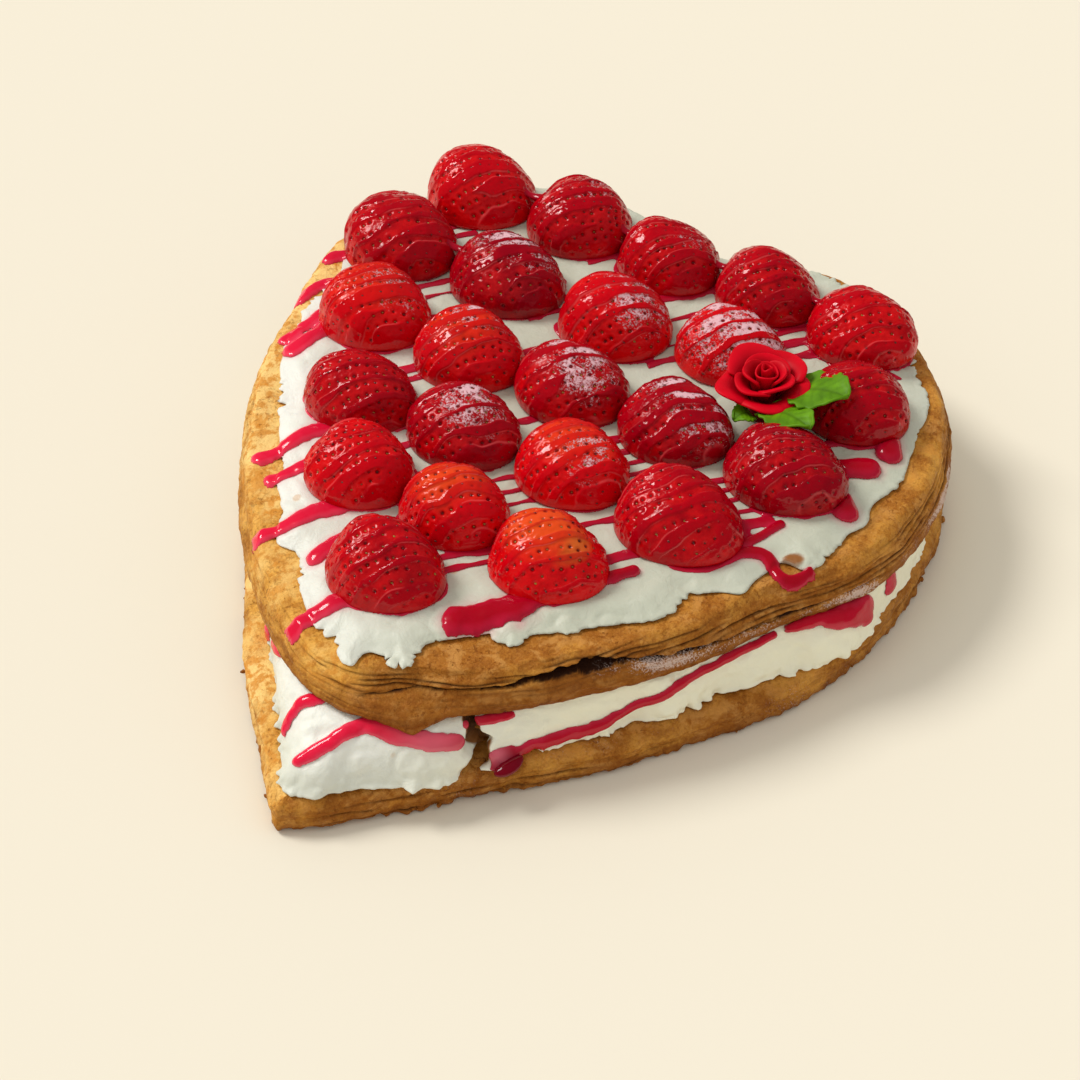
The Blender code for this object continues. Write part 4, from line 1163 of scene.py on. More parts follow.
def joinedOnly(lane, outside, nearest):
    # keeps the stretches that run from one berry to another
    shape = (len(sauceYs), len(sauceXs))
    there = ((lane > 0) & (outside > 0.2)).reshape(shape)
    touch = np.where(outside < 1.2, nearest, -1).reshape(shape)
    label, keep = np.full(shape, -1), []
    for start in np.argwhere(there):
        if label[tuple(start)] >= 0:
            continue
        label[tuple(start)] = len(keep)
        queue, met, size = [tuple(start)], set(), 0
        while queue:
            i, j = queue.pop()
            size += 1
            met.add(touch[i, j])
            for a, b in ((i + 1, j), (i - 1, j), (i, j + 1), (i, j - 1)):
                if 0 <= a < shape[0] and 0 <= b < shape[1] and there[a, b] and label[a, b] < 0:
                    label[a, b] = len(keep)
                    queue.append((a, b))
        keep.append(len(met - {-1}) > 1 and size < 260)
    return np.where(np.array(keep + [True])[label].reshape(-1), lane, -1)


def sauceFields():
    # the sauce seen from above, on an even grid: in listed trails, in lanes, and round the
    # berries' feet
    flat = np.dstack(np.meshgrid(sauceXs, sauceYs)).reshape(-1, 2)
    _, outside, second, nearest = berryCover(flat)
    field, thick = trailField(flat, topTrails)
    lane, number, half = laneField(flat, sauceFlow["half"])
    strong = np.mod(number, 3) == 0  # every third lane is wider
    lane = np.where(strong, 1 - (1 - lane) * 0.75, lane)
    there = ((half > sauceFlow["least"]) | strong) & (second < sauceFlow["longest"])
    lane = joinedOnly(np.where(there, lane, -1), outside, nearest)
    skirt = 1 - outside / clip(ripples(flat, *sauceFlow["skirt"]) - 0.1, 0.05, 2.8)
    return flat, outside, field, thick, lane, skirt


sauceMap = sauceFields()


def sauceStain(points):
    # how pink the cream is beside and under the sauce
    _, _, field, _, lane, skirt = sauceMap
    spread = np.maximum(np.maximum(field, lane - 0.2), skirt - 0.4)
    soft = clip(spread * 1.4 + 1.0).reshape(len(sauceYs), len(sauceXs))
    for _ in range(3):
        soft[1:-1, 1:-1] = (soft[1:-1, 1:-1] + neighbours(soft)) / 5
    j, i = (clip(((points[:, axis] - line[0]) / sauceStep).round().astype(int), 0, len(line) - 1)
            for axis, line in enumerate((sauceXs, sauceYs)))
    return clip(soft[i, j] ** 2 * (0.7 + 0.6 * wander(points, 5, 49)))


def topSauce(support):
    trees = []
    for piece in support:
        work = bmesh.new()
        work.from_mesh(piece.data)
        trees.append(BVHTree.FromBMesh(work))
        work.free()
    flat, outside, field, thick, lane, skirt = sauceMap
    shape = (len(sauceYs), len(sauceXs))
    spread = np.maximum(np.maximum(field, lane), skirt)
    hand = field >= np.maximum(lane, skirt)
    thickness = np.where(lane > skirt, sauceFlow["thick"], sauceFlow["skirtThick"])
    thickness = np.where(hand, thick, thickness).reshape(shape)
    z = np.full(len(flat), 45.0)
    for i in np.nonzero((spread > -1.5) & (outside > -2.5))[0]:
        start = Vector((flat[i, 0] * mm, flat[i, 1] * mm, 0.06))
        hits = [tree.ray_cast(start, Vector((0, 0, -1)))[0] for tree in trees]
        z[i] = max([hit[2] / mm for hit in hits if hit is not None], default=40)
    level = z.reshape(shape)
    for _ in range(3):
        soft = level.copy()
        soft[1:-1, 1:-1] = (level[1:-1, 1:-1] * 2 + neighbours(level)) / 6
        level = np.maximum(level, soft)
    for _ in range(4):
        thickness[1:-1, 1:-1] = (thickness[1:-1, 1:-1] * 2 + neighbours(thickness)) / 6
    # none under the berries, and none of the lanes and skirts past the cream's edge
    spread = np.where((outside < -1.3) | (z <= 38) | ((field <= 0) & (z < 43.4)), -1, spread)
    piece, used = sauceSheet("sauceOnTop", np.dstack([flat.reshape(*shape, 2), level]),
                             np.array([0, 0, 1.0]), spread.reshape(shape), thickness)
    body = clip(spread[used] * 1.6)
    finishSauce(piece, 40, 4, "top_cream", thick=np.where(hand[used], body, body * 0.6),
                sunny=sunny(flat[used]), deep=0, pale=0)


def lowerSauce(sheet):
    sheet = np.roll(sheet, sheet.shape[1] // 2, axis=1)  # its seam goes to the back
    flat = sheet.reshape(-1, 3)
    field, thick = trailField(flat, lowerTrails, treeOf(flat))
    shape = sheet.shape[:2]
    wrapped, normals, field, thick = (np.concatenate([grid, grid[:, :1]], axis=1) for grid in (
        sheet, gridNormals(sheet), field.reshape(shape), thick.reshape(shape)))
    piece, used = sauceSheet("sauceOnFilling", wrapped, normals, field, thick)
    where = wrapped.reshape(-1, 3)[used]
    tones = {name: np.max([share * near(where, *spot) for *spot, share in spots], axis=0)
             for name, spots in lowerTones.items()}
    finishSauce(piece, 20, 8, "lower_cream", thick=clip(field.reshape(-1)[used] * 1.6),
                sunny=clip(sunny(where) * 1.3 + 0.25), **tones)


# each berry: how its top leans left and to the back, how pointed it is, how light its red is, how
# wide its ribbons of sauce are and how far they run together; and what only some have: a larger
# form, orange and green shoulders, and patches of sugar (x, y, reach, amount)
berryKinds = [
    (0.25, 0.2, 0.3, 0.6, 1.2, 0.3, {"grow": 1.07}),
    (-0.05, 0.1, 0.1, 0.3, 1.0, 0.2, {"sugar": [(0.3, 0.3, 0.5, 0.35)]}),
    (0.1, 0.1, 0.1, 0.35, 1.0, 0.2, {"sugar": [(0.2, 0.2, 0.5, 0.2)]}),
    (0.15, 0.1, 0.2, 0.3, 1.0, 0.2, {}),
    (0.1, 0.15, 0.1, 0.5, 1.0, 0.2, {}),
    (0.15, 0.2, 0.1, 0.32, 1.2, 0.3, {"grow": 1.06}),
    (0.0, 0.15, 0.15, 0.05, 1.3, 0.3, {"sugar": [(-0.1, 0.55, 0.65, 1.0), (0.5, 0.3, 0.4, 0.5)]}),
    (0.2, 0.1, 0.15, 0.75, 1.0, 0.2, {"sugar": [(0.35, 0.1, 0.5, 0.9), (0.0, 0.5, 0.4, 0.6)]}),
    (0.1, 0.1, 0.1, 0.75, 0.5, 0.0, {"sugar": [(0.0, 0.3, 1.0, 1.15), (-0.4, 0.0, 0.6, 0.9)]}),
    (0.15, 0.1, 0.1, 0.22, 1.0, 0.2, {}),
    (0.1, 0.1, 0.1, 0.8, 0.9, 0.1, {"orange": 0.15, "sugar": [(0.25, 0.2, 0.5, 0.35)]}),
    (0.05, 0.15, 0.2, 0.7, 1.0, 0.2, {"orange": 0.2, "sugar": [(-0.05, 0.5, 0.45, 1.2)]}),
    (0.1, 0.1, 0.0, 0.28, 1.3, 0.0, {"sugar": [(-0.1, 0.55, 0.6, 1.15), (0.2, -0.1, 0.5, 0.9)]}),
    (0.1, 0.15, 0.15, 0.15, 1.25, 0.1, {"sugar": [(0.0, 0.5, 0.6, 1.2), (0.5, 0.0, 0.5, 0.85)]}),
    (0.05, 0.1, 0.1, 0.12, 1.0, 0.2, {"sugar": [(-0.4, 0.45, 0.4, 0.5)]}),
    (0.1, 0.1, 0.2, 0.3, 0.7, 0.1, {}),
    (0.05, 0.15, 0.1, 0.2, 1.1, 0.1, {"sugar": [(-0.2, 0.5, 0.4, 1.0), (0.1, 0.0, 0.5, 0.8)]}),
    (-0.05, 0.15, 0.15, 0.9, 0.9, 0.0, {"orange": 0.3, "sugar": [(0.3, -0.1, 0.45, 0.6)]}),
    (0.15, 0.2, 0.3, 0.36, 0.55, 0.45, {}),
    (0.05, 0.1, 0.15, 0.62, 0.9, 0.5, {}),
    (0.0, 0.1, 0.2, 0.75, 0.7, 0.15, {"orange": 0.5}),
    (0.05, 0.2, 0.45, 0.8, 0.45, 0.25, {"grow": 1.03, "orange": 0.62, "green": 0.7}),
    (0.2, 0.2, 0.4, 0.35, 0.55, 0.0, {}),
]
# how much wider than its solid each berry is drawn, and its lumps (size, width, seed)
berryShape = {"wider": 1.03, "lumps": (0.065, 2.0, 50)}
# the pits round the seeds, the swelling round a pit (how far out, its width, its height), a seed
pitting = {"count": 330, "depth": 0.6, "reach": 0.8, "swelling": (1.3, 0.5, 0.13),
           "seed": (0.52, 0.34, 0.26)}
# the sauce on them: half its ribbons' width, how thick it is, its lip and its unevenness
glazing = {"width": 2.0, "thick": 0.52, "lip": 0.16, "ripple": 0.2}


def berryDome():
    # one half strawberry's skin, built once: a ball of even squares cut flat
    deselectAll()
    bpy.ops.mesh.primitive_cube_add(size=2)
    dome = bpy.context.object
    levels = 6
    applyModifier(dome, "SUBSURF", levels=levels, render_levels=levels)
    bpy.ops.object.mode_set(mode="EDIT")
    bpy.ops.mesh.select_all(action="SELECT")
    bpy.ops.transform.tosphere(value=1)
    bpy.ops.mesh.bisect(plane_co=(0, 0, 0), plane_no=(0, 0, 1), clear_inner=True, use_fill=True)
    bpy.ops.object.mode_set(mode="OBJECT")
    size = np.linalg.norm(corners(dome), axis=1).max()
    for vertex in dome.data.vertices:
        vertex.co = vertex.co / size
    return dome


def seedSpots(number):
    # a spiral round the berry's length, seen from its stem end
    i = np.arange(pitting["count"]) + 0.5
    x = 1 - 2 * i / pitting["count"]
    turn = i * 2.39996 + number * 0.7
    r = np.sqrt(1 - x * x)
    spots = np.column_stack([x, r * np.cos(turn), r * np.sin(turn)])
    spots += np.random.default_rng(number).normal(0, 0.018, spots.shape)
    spots = unitLong(spots)
    return spots[spots[:, 2] > 0.10]


def berryForm(unit, number):
    # from directions on the upper half of a ball to the berry's skin
    middle, size, foot = berryBoxes[number - 1]
    left, back, point, *_, more = berryKinds[number - 1]
    up = clip(unit[:, 2])
    shift = leftWay * left + awayWay * back
    pinch = (1 - point * 0.55 * up * (1 - up ** 2)) * more.get("grow", 1)
    across, along = size[:2] / 2
    pinch = pinch * berryShape["wider"]
    x = unit[:, 0] * across * pinch + shift[0] * across * up ** 2
    y = unit[:, 1] * (1 - 0.1 * unit[:, 0]) * along * pinch + shift[1] * along * up ** 2
    z = (size[2] - 0.8) * up ** 0.88
    lumps = 1 + ripples(unit * 3 + number * 7.1, berryShape["lumps"]) * clip(unit[:, 2] * 3)
    return np.column_stack([middle[0] + x * lumps, middle[1] + y * lumps, foot + z * lumps])


def skinNormals(unit, number):
    side = np.cross(unit, [0.0, 0.0, 1.0])
    side[np.linalg.norm(side, axis=1) < 1e-6] = [1, 0, 0]
    side = unitLong(side)
    base = berryForm(unit, number)
    n = unitLong(np.cross(*(berryForm(unitLong(unit + 0.02 * way), number) - base
                            for way in (side, np.cross(unit, side)))))
    flip = np.sign(np.sum(n * unit, axis=1))
    return n * np.where(flip == 0, 1, flip)[:, None]


def glazeField(skin, number):
    # sauce over one berry: the shared lanes, wider and less even, and slipping down the flanks
    wide, pooled = berryKinds[number - 1][4:6]
    shifted = skin[:, :2] + 1.3 * np.column_stack([wander(skin, 10, number + k) for k in (0, 60)])
    shifted += 0.45 * np.column_stack([wander(skin, 4, number + k) for k in (90, 120)])
    lane, lineNumber, _ = laneField(shifted, glazing["width"] * wide)
    gone = wander(np.column_stack([lineNumber * 1.7, skin[:, :2] / 30]), 1, 300 + number)
    lane = lane - clip(-gone - 0.4) * 3
    middle, size, _ = berryBoxes[number - 1]
    share = (skin[:, :2] - middle[:2]) / (size[:2] / 2)
    # the pools lean to the low side away from the light, so their dark glaze paints shade there
    lowRight = share @ -leftWay * 0.6 + share @ -awayWay * 0.5
    pool = wander(skin, 9, 400 + number) * 0.9 - 0.95 + pooled + lowRight * 0.4
    return np.maximum(lane, pool), pool > lane


def ballMesh(levels):
    deselectAll()
    bpy.ops.mesh.primitive_ico_sphere_add(subdivisions=levels, radius=1)
    ball = bpy.context.object
    points, faces = corners(ball), [list(p.vertices) for p in ball.data.polygons]
    bpy.data.objects.remove(ball)
    return points, faces


def berry(number, dome, unit):
    bright, more = berryKinds[number - 1][3], berryKinds[number - 1][-1]
    middle, size, foot = berryBoxes[number - 1]
    skin = berryForm(unit, number)
    normals = skinNormals(unit, number)
    lane, pooled = glazeField(skin, number)
    glaze = clip(lane * 3.2)
    glaze = glaze * glaze * (3 - 2 * glaze)
    lip = bell((lane - 0.26) / 0.13) * clip(0.6 + 1.2 * wander(skin, 7, 55))
    low = clip((foot + 1.6 - skin[:, 2]) / 1.3)
    glaze = np.maximum(glaze, low * clip(0.6 + wander(skin, 6, 51)))
    spots = seedSpots(number)
    spotSkin = berryForm(spots, number)
    tree = treeOf(spotSkin)
    found = [tree.find(point) for point in skin]
    far = np.array([hit[2] for hit in found])
    depth = np.random.default_rng(number + 40).uniform(0.55, 1.1, len(spots))
    pit = bell(far / pitting["reach"]) * depth[[hit[1] for hit in found]]
    upper = clip(unit[:, 2] * 6)
    lift = upper * (glazing["thick"] * glaze + glazing["lip"] * lip
                    + glazing["ripple"] * glaze * wander(skin, 3, 52))
    lift -= upper * pitting["depth"] * pit * (1 - 0.6 * glaze)
    off, width, height = pitting["swelling"]
    lift += upper * height * bell((far - off) / width) * (1 - 0.8 * glaze)
    skin = skin + normals * lift[:, None]
    skin[:, 2] = np.maximum(skin[:, 2], foot)
    piece = bpy.data.objects.new(f"berry{number:02d}", dome.data.copy())
    bpy.context.scene.collection.objects.link(piece)
    moveCorners(piece, skin)
    share = (skin - middle) / (size / 2)
    sugar = np.zeros(len(skin))
    for x, y, reach, amount in more.get("sugar", []):
        d = np.hypot(share[:, 0] - x, share[:, 1] - y) / (reach * 1.3)
        sugar = np.maximum(sugar, 1.25 * amount * clip(1.5 - d * 1.3))
    sugar *= clip(1.15 - glaze) * clip(0.85 + 1.2 * wander(skin, 4, 53))
    shoulder = 1.9 * share[:, 2] - 0.25 * share[:, 0] - 0.6 + 0.6 * wander(skin, 9, 54)
    # the berry's own red, lighter on the side facing the light: painted light
    addMasks(piece, bright=bright + 0.14 + 0.08 * share[:, :2] @ leftWay
             + 0.15 * wander(skin, 8, 56),
             orange=more.get("orange", 0) * clip(shoulder),
             green=more.get("green", 0) * clip((share[:, 0] - 0.3) * 2.4)
             * clip(share[:, 2] * 1.8 - 0.2),
             lane=np.maximum(lane, low * 0.3), upper=upper,
             # lip: where the ribbons' edges carry a painted highlight
             lip=upper * clip(0.4 + 1.8 * wander(skin, 7, 55)) * ~pooled,
             # pit: painted shade in the pits round the seeds
             sugar=sugar * clip(unit[:, 2] * 3 - 0.3), pit=pit * upper * (1 - 0.4 * glaze))
    finishPiece(piece, berrySkin, "strawberry", berryNames[number - 1])
    return spots, spotSkin, depth


def berrySeeds(number, ball, spots, spotSkin, depth):
    # seeds lie along the berry, sunk a little into their pits
    n = skinNormals(spots, number)
    along = unitLong(np.cross(n, np.cross([1.0, 0.0, 0.0], n)))
    side = np.cross(n, along)
    glaze = clip(glazeField(spotSkin, number)[0] * 3.2)
    sink = 0.75 * glazing["thick"] * glaze - pitting["depth"] * depth * (1 - 0.6 * glaze)
    rng = np.random.default_rng(100 + number)
    points, pale = [], []
    for i in range(len(spots)):
        form = ball * pitting["seed"] * rng.uniform(0.75, 1.15)
        points.append(spotSkin[i] + n[i] * sink[i] + form @ [along[i], side[i], n[i]])
        pale.append(rng.uniform(0.35, 1) if rng.uniform() < 0.45 * (1 - glaze[i]) else 0.0)
    return points, pale


def strawberries():
    dome = berryDome()
    unit = corners(dome)
    ball, faces = ballMesh(1)
    points, pale = [], []
    for number in range(1, len(berryKinds) + 1):
        more = berrySeeds(number, ball, *berry(number, dome, unit))
        points += more[0]
        pale += more[1]
    bpy.data.objects.remove(dome)
    seeds = newPiece("strawberrySeeds", np.vstack(points),
                     [[v + k * len(ball) for v in f] for k in range(len(points)) for f in faces])
    addMasks(seeds, pale=np.repeat(pale, len(ball)))
    finishPiece(seeds, seedSkin, "strawberry")


# strings of sauce that hang from one berry to the next, and the drop off the filling's edge
sauceStrings = {
    "pairs": [(1, 2), (2, 3), (3, 4), (4, 5), (6, 7)],
    "ends": 2.3, "middle": 1.2, "sag": 1.8, "height": 0.45,
    "drop": {"from": (55.6, -93.6, 15.2), "to": (53.0, -102.8, 12.2), "radius": 3.5},
}


def sauceTube(name, path, radius, count, sides, **masks):
    turn = np.linspace(0, 2 * np.pi, count, endpoint=False)
    rings = np.column_stack([np.cos(turn), np.sin(turn)]) @ np.array(sides)
    piece = closedSheet(name, path[:, None] + radius[:, None, None] * rings[None])
    addMasks(piece, pale=0, **masks)
    return piece


def stringsOfSauce():
    parts = []
    for a, b in sauceStrings["pairs"]:
        toward = unitLong(berryBoxes[b - 1][0][:2] - berryBoxes[a - 1][0][:2])
        ends = []
        for number, sign in ((a, 1), (b, -1)):
            unit = np.append(sign * toward * 0.84 + awayWay * 0.12, sauceStrings["height"])
            end = berryForm(unitLong(unit)[None] * 0.999, number)[0]
            ends.append(end - np.append(sign * toward, 0.6))
        t = np.linspace(0, 1, 22)
        path = ends[0] + (ends[1] - ends[0]) * t[:, None]
        path[:, 2] -= sauceStrings["sag"] * 4 * t * (1 - t)
        widening = (sauceStrings["ends"] - sauceStrings["middle"]) * np.abs(2 * t - 1) ** 3
        radius = (sauceStrings["middle"] + widening) * (1 + 0.2 * wander(path, 3, 130))
        sides = [(-toward[1] * 1.2, toward[0] * 1.2, 0), (0, 0, 0.8)]
        parts.append(sauceTube(f"sauceString{a}", path, radius, 20, sides,
                               thick=0.9, deep=0.25, sunny=0.1))
    drop = sauceStrings["drop"]
    t = (1 - np.cos(np.linspace(0.08, np.pi - 0.08, 24))) / 2
    start, end = placed(drop["from"]), placed(drop["to"])
    radius = drop["radius"] * np.sqrt(1 - (2 * t - 1) ** 2) * (0.75 + 0.35 * t)
    parts.append(sauceTube("sauceDrop", start + (end - start) * t[:, None], radius, 28,
                           [(0.96, 0.28, 0), (0.1, -0.35, 0.4)], thick=1, deep=0.9, sunny=0))
    piece = joined("sauceStrings", parts)
    bpy.ops.object.mode_set(mode="EDIT")
    bpy.ops.mesh.select_all(action="SELECT")
    bpy.ops.mesh.normals_make_consistent(inside=False)
    bpy.ops.object.mode_set(mode="OBJECT")
    finishPiece(piece, sauceSkin, "strawberry")


crumbs = {
    "count": 46, "size": (0.5, 1.5), "seed": 8, "rough": 0.32,
    # a few larger flakes: x, y, z and half size
    "flakes": [(41.2, -91.3, 24.5, 2.6), (41.6, -91.6, 20.5, 2.4), (46.0, -103.0, 11.9, 0.8),
               (47.6, -104.6, 11.6, 0.6), (45.0, -99.2, 12.0, 0.9)],
}


def turned(points, angle, a, b):
    # points turned in the plane of the axes a and b
    out = points.copy()
    out[:, a] = points[:, a] * math.cos(angle) - points[:, b] * math.sin(angle)
    out[:, b] = points[:, a] * math.sin(angle) + points[:, b] * math.cos(angle)
    return out


def pastryCrumbs():
    # bits of crust in the break of the cream and along the foot of the lower pastry
    rng = np.random.default_rng(crumbs["seed"])
    form, faces = ballMesh(3)
    foot = smoothLoop(bottomEdge, 600)
    out = -inwardOf(foot)
    places = [(placed(flake[:3]), flake[3], 0.5) for flake in crumbs["flakes"]]
    for _ in range(crumbs["count"]):
        i = rng.integers(0, 600)
        half = rng.uniform(*crumbs["size"]) * rng.uniform(0.5, 1)
        spot = np.append(foot[i] + out[i] * rng.uniform(-0.6, 0.5), rng.uniform(0.5, 3.5))
        spot[2] = max(spot[2], half * 0.8)
        places.append((spot, half, 0.8))
    points = []
    for k, (spot, half, height) in enumerate(places):
        turn, tilt = rng.uniform(0, 2 * np.pi), rng.uniform(-0.5, 0.5)
        rough = 1 + crumbs["rough"] * wander(form + k * 9.1, 0.7, 110)
        q = form * rough[:, None] * np.array([1.5, 0.9, height]) * half
        q = turned(turned(q, tilt, 1, 2), turn, 0, 1) + spot
        q[:, 2] = np.maximum(q[:, 2], 0.02)
        points.append(q)
    piece = newPiece("pastryCrumbs", np.vstack(points),
                     [[v + k * len(form) for v in f] for k in range(len(points)) for f in faces])
    addMasks(piece, side=0.3, base=0.55, toast=1, groove=0, sugar=0)
    addRim(piece, np.vstack(points))
    finishPiece(piece, pastrySkin, "pastry")


rose = {
    "at": (58.0, 56.9), "foot": 46.9, "thickness": 1.0,
    "core": {"radius": 5, "height": 13, "low": 1.2, "high": 0.6},
    "bud": {"turns": 2.3, "radius": 5.6, "top": 21.0, "drop": 3.0, "start": 150,
            "thickness": 0.75},
    # turn, spread, foot and rim radius, foot and rim height, curl, point, wave
    "petals": [
        (214, 118, 4.6, 14.6, 4.4, 15.6, 2.2, 2.4, 0.9),
        (140, 116, 4.4, 15.2, 5.0, 18.2, 1.6, 2.2, 0.9),
        (78, 112, 4.2, 15.0, 4.8, 17.6, 1.8, 2.0, 1.0),
        (8, 110, 4.2, 14.4, 4.2, 15.4, 2.4, 1.2, 0.7),
        (296, 128, 4.0, 13.8, 3.6, 15.0, 2.6, 1.4, 0.8),
        (250, 130, 3.6, 10.6, 6.4, 18.0, 1.5, 1.0, 0.5),
        (105, 150, 3.4, 9.8, 7.0, 18.8, 1.2, 0.8, 0.5),
        (345, 140, 3.2, 9.6, 7.2, 18.4, 1.4, 1.0, 0.5),
        (200, 160, 2.8, 7.2, 8.4, 19.8, 0.8, 0.4, 0.3),
        (40, 150, 2.6, 7.0, 8.6, 19.6, 0.9, 0.4, 0.3),
    ],
}


def pasteGrid(columns, rows):
    # a flat grid to be shaped, with its places across from -1 to 1 and along from 0 to 1
    deselectAll()
    bpy.ops.mesh.primitive_grid_add(x_subdivisions=columns, y_subdivisions=rows, size=2)
    u = corners(bpy.context.object)
    return bpy.context.object, u[:, 0], u[:, 1]


def rolledOut(petal, points, thickness, **masks):
    moveCorners(petal, points)
    addMasks(petal, **masks)
    applyModifier(petal, "SOLIDIFY", thickness=thickness * mm, offset=0)
    applyModifier(petal, "SUBSURF", levels=1, render_levels=1)
    return petal


def roundRose(radius, angle, height):
    x, y = rose["at"]
    return np.column_stack([x + radius * np.cos(angle), y + radius * np.sin(angle),
                            rose["foot"] + height])


def sugarRose():
    core, (x, y) = rose["core"], rose["at"]
    deselectAll()
    bpy.ops.mesh.primitive_cylinder_add(
        vertices=32, radius=core["radius"] * mm, depth=core["height"] * mm,
        location=(x * mm, y * mm, (rose["foot"] + core["height"] / 2) * mm))
    middle = bpy.context.object
    bpy.ops.object.transform_apply(location=True, rotation=True, scale=True)
    for vertex in middle.data.vertices:
        low = (vertex.co.z / mm - rose["foot"]) / core["height"] < 0.5
        grow = core["low"] if low else core["high"]
        vertex.co.x = x * mm + (vertex.co.x - x * mm) * grow
        vertex.co.y = y * mm + (vertex.co.y - y * mm) * grow
    applyModifier(middle, "BEVEL", width=1.5 * mm, segments=4)
    # depth is painted shade: full on the hidden core, growing towards the foot of the bud and of
    # each petal
    addMasks(middle, depth=1)
    parts = [middle]
    # the bud: one strip wound round itself, its upper edge rolled out
    bud = rose["bud"]
    petal, s, t = pasteGrid(96, 12)
    a, t = (s + 1) / 2, (t + 1) / 2
    angle = np.radians(bud["start"]) + a * bud["turns"] * 2 * np.pi
    radius = 0.7 + (bud["radius"] - 0.7) * a ** 1.1 + 0.9 * a * clip(t - 0.6) ** 2 * 6.25
    radius *= (0.72 + 0.28 * t) * (1 + 0.08 * np.sin(angle * 1.7 + 1))
    height = 9 + (bud["top"] - bud["drop"] * a - 9) * t + 0.5 * t * np.sin(angle * 2.3)
    height -= 0.8 * clip(t - 0.82) / 0.18 * a
    # painted shade low on the bud
    parts.append(rolledOut(petal, roundRose(radius, angle, height), bud["thickness"],
                           depth=clip(1.25 - t * 1.3)))
    for index, numbers in enumerate(rose["petals"]):
        turn, spread, footR, rimR, footH, rimH, curl, tip, wave = numbers
        petal, s, t = pasteGrid(30, 18)
        t = (t + 1) / 2
        angle = np.radians(turn + spread / 2 * s * (1 - 0.08 * t))
        radius = footR + (rimR - footR) * t ** 1.25 + tip * bell((s - 0.15) / 0.4) * t ** 3
        radius *= 1 - 0.16 * s ** 4 * t
        radius += 0.5 * wave * t ** 2 * np.sin(s * 4.3 + index * 1.7)
        height = footH + (rimH - footH) * t ** 0.7 - curl * (clip(t - 0.72) / 0.28) ** 1.6
        height -= (rimH - footH) * 0.16 * s ** 4 * t
        height += 0.7 * wave * t ** 2 * np.sin(s * 3.4 + index * 2.1)
        # painted shade towards the petal's foot
        parts.append(rolledOut(petal, roundRose(radius, angle, height), rose["thickness"],
                               depth=clip(1.15 - t * 1.25)))
    finishPiece(joined("sugarRose", parts), roseSkin, "rose_paste", "rose")


leaves = {
    "thickness": 0.9,
    # node, where it starts, where its tip is, half its width and how wavy it is
    "each": [
        ("leaf_1", (67.5, 62.5, 56.5), (88.6, 61.6, 63.8), 11.4, 1.3),
        ("leaf_2", (63.5, 50.9, 55.0), (84.3, 43.2, 62.0), 8.0, 1.3),
        ("leaf_3", (60.5, 48.2, 53.2), (57.0, 41.5, 54.5), 4.8, 0.6),
    ],
}


def sugarLeaves():
    for node, foot, tip, halfWidth, wave in leaves["each"]:
        leaf, t, s = pasteGrid(36, 16)
        leaf.name = node.replace("_", "") + "Paste"
        t, foot, tip = (t + 1) / 2, placed(foot), placed(tip)
        side = unitLong(np.array([foot[1] - tip[1], tip[0] - foot[0], 0]))
        wide = halfWidth * (0.1 + 0.9 * np.sin(np.pi * np.minimum(t * 0.86 + 0.14, 1)) ** 0.8)
        wide = np.where(t > 0.98, 0.35, wide) * (1 + 0.06 * np.sin(t * 34) * np.abs(s))
        lift = wave * np.sin(2.6 * np.pi * t + np.where(s > 0, 0.9, 0)) * s * s
        lift += 0.8 * s * s + 2.2 * np.sin(np.pi * t)
        vein = bell(s / 0.10)
        branch = bell(((t * 6.5 - np.abs(s) * 1.6) % 1 - 0.5) / 0.12) * clip(
            np.abs(s) * 4) * clip(2 - np.abs(s) * 1.8)
        lift -= 0.30 * vein + 0.2 * branch
        points = foot + (tip - foot) * t[:, None] + side * (wide * s)[:, None]
        points[:, 2] += lift - 0.5
        # painted shade along the pressed veins
        rolledOut(leaf, points, leaves["thickness"], vein=clip(vein + 0.7 * branch))
        finishPiece(leaf, leafSkin, "leaf_paste", node)


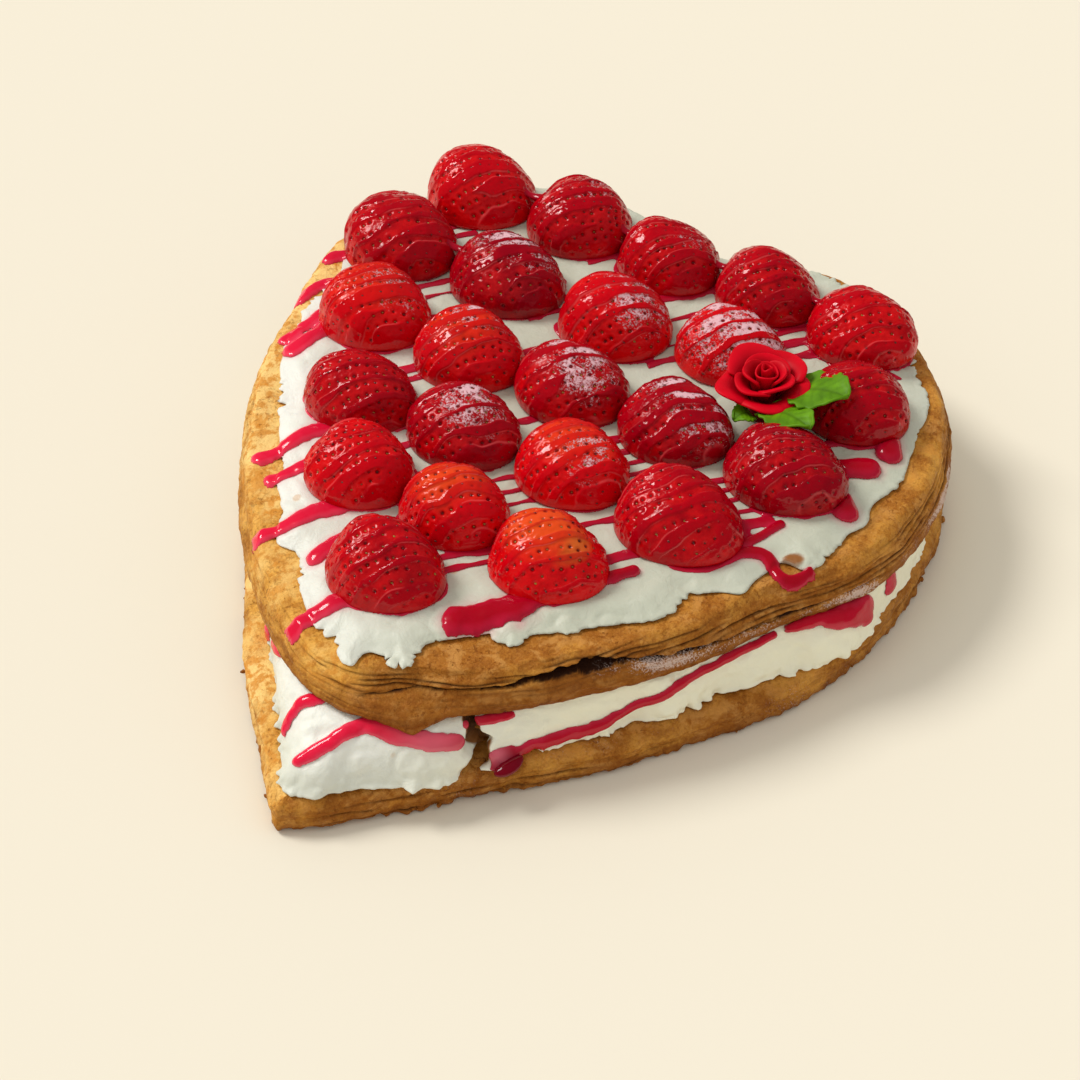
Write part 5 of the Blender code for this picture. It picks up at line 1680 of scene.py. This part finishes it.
studio = {
    "floor": (0.82, 0.76, 0.625), "room": (1.0, 0.98, 0.95), "roomLight": 0.69,
    "mirrored": 0.09,  # glossy skins mirror a dimmer room
    "sun": {"energy": 2.05, "angle": math.radians(21), "color": (1.0, 0.985, 0.96)},
    "camera": {"lens": 98.2, "sensor_width": 36, "clip_start": 0.01, "clip_end": 20},
    "cameraAt": (0.3820, -0.6308, 0.6939), "aim": (0.0252, -0.0346, 0.0460),
}


def placeIn(name, data, settings, location, aim):
    for key, value in settings.items():
        setattr(data, key, value)
    thing = bpy.data.objects.new(name, data)
    thing.location = location
    thing.rotation_euler = (Vector(aim) - thing.location).to_track_quat("-Z", "Y").to_euler()
    bpy.context.scene.collection.objects.link(thing)
    return thing


def setting():
    deselectAll()
    bpy.ops.mesh.primitive_plane_add(size=8, location=(0, 0, 0))
    floor = bpy.context.object
    floor.name = "paleFloor"
    floor.data.materials.append(newMaterial("paleFloor", Roughness=0.9, Specular_IOR_Level=0.1,
                                            Base_Color=studio["floor"])[0])

    world = bpy.data.worlds.new("softRoom")
    world.use_nodes = True
    w = Wiring(world.node_tree)
    room = w.wire(world.node_tree.nodes["Background"], Color=studio["room"],
                  Strength=studio["roomLight"])
    shine = w.node("Background", Color=studio["room"], Strength=studio["mirrored"])
    either = w.node("MixShader")
    for at, value in enumerate((w.node("LightPath").outputs["Is Glossy Ray"], room.outputs[0],
                                shine.outputs[0])):
        w.put(value, either.inputs[at])
    w.wire(world.node_tree.nodes["World Output"], Surface=either.outputs[0])
    bpy.context.scene.world = world

    light = np.append(leftWay * 1.0 + awayWay * 0.55, 1.2)
    placeIn("keyLight", bpy.data.lights.new("keyLight", "SUN"), studio["sun"], light, (0, 0, 0))
    bpy.context.scene.camera = placeIn("camera", bpy.data.cameras.new("camera"), studio["camera"],
                                       studio["cameraAt"], studio["aim"])
    bpy.context.scene.view_settings.view_transform = "Standard"
    print("setting ready")


setting()
bottomPastry()
topPiece = topPastry()
fillingSheet = lowerCream()
creamPiece = topCream()
topSauce([creamPiece, topPiece])
lowerSauce(fillingSheet)
strawberries()
stringsOfSauce()
sugarRose()
sugarLeaves()
pastryCrumbs()
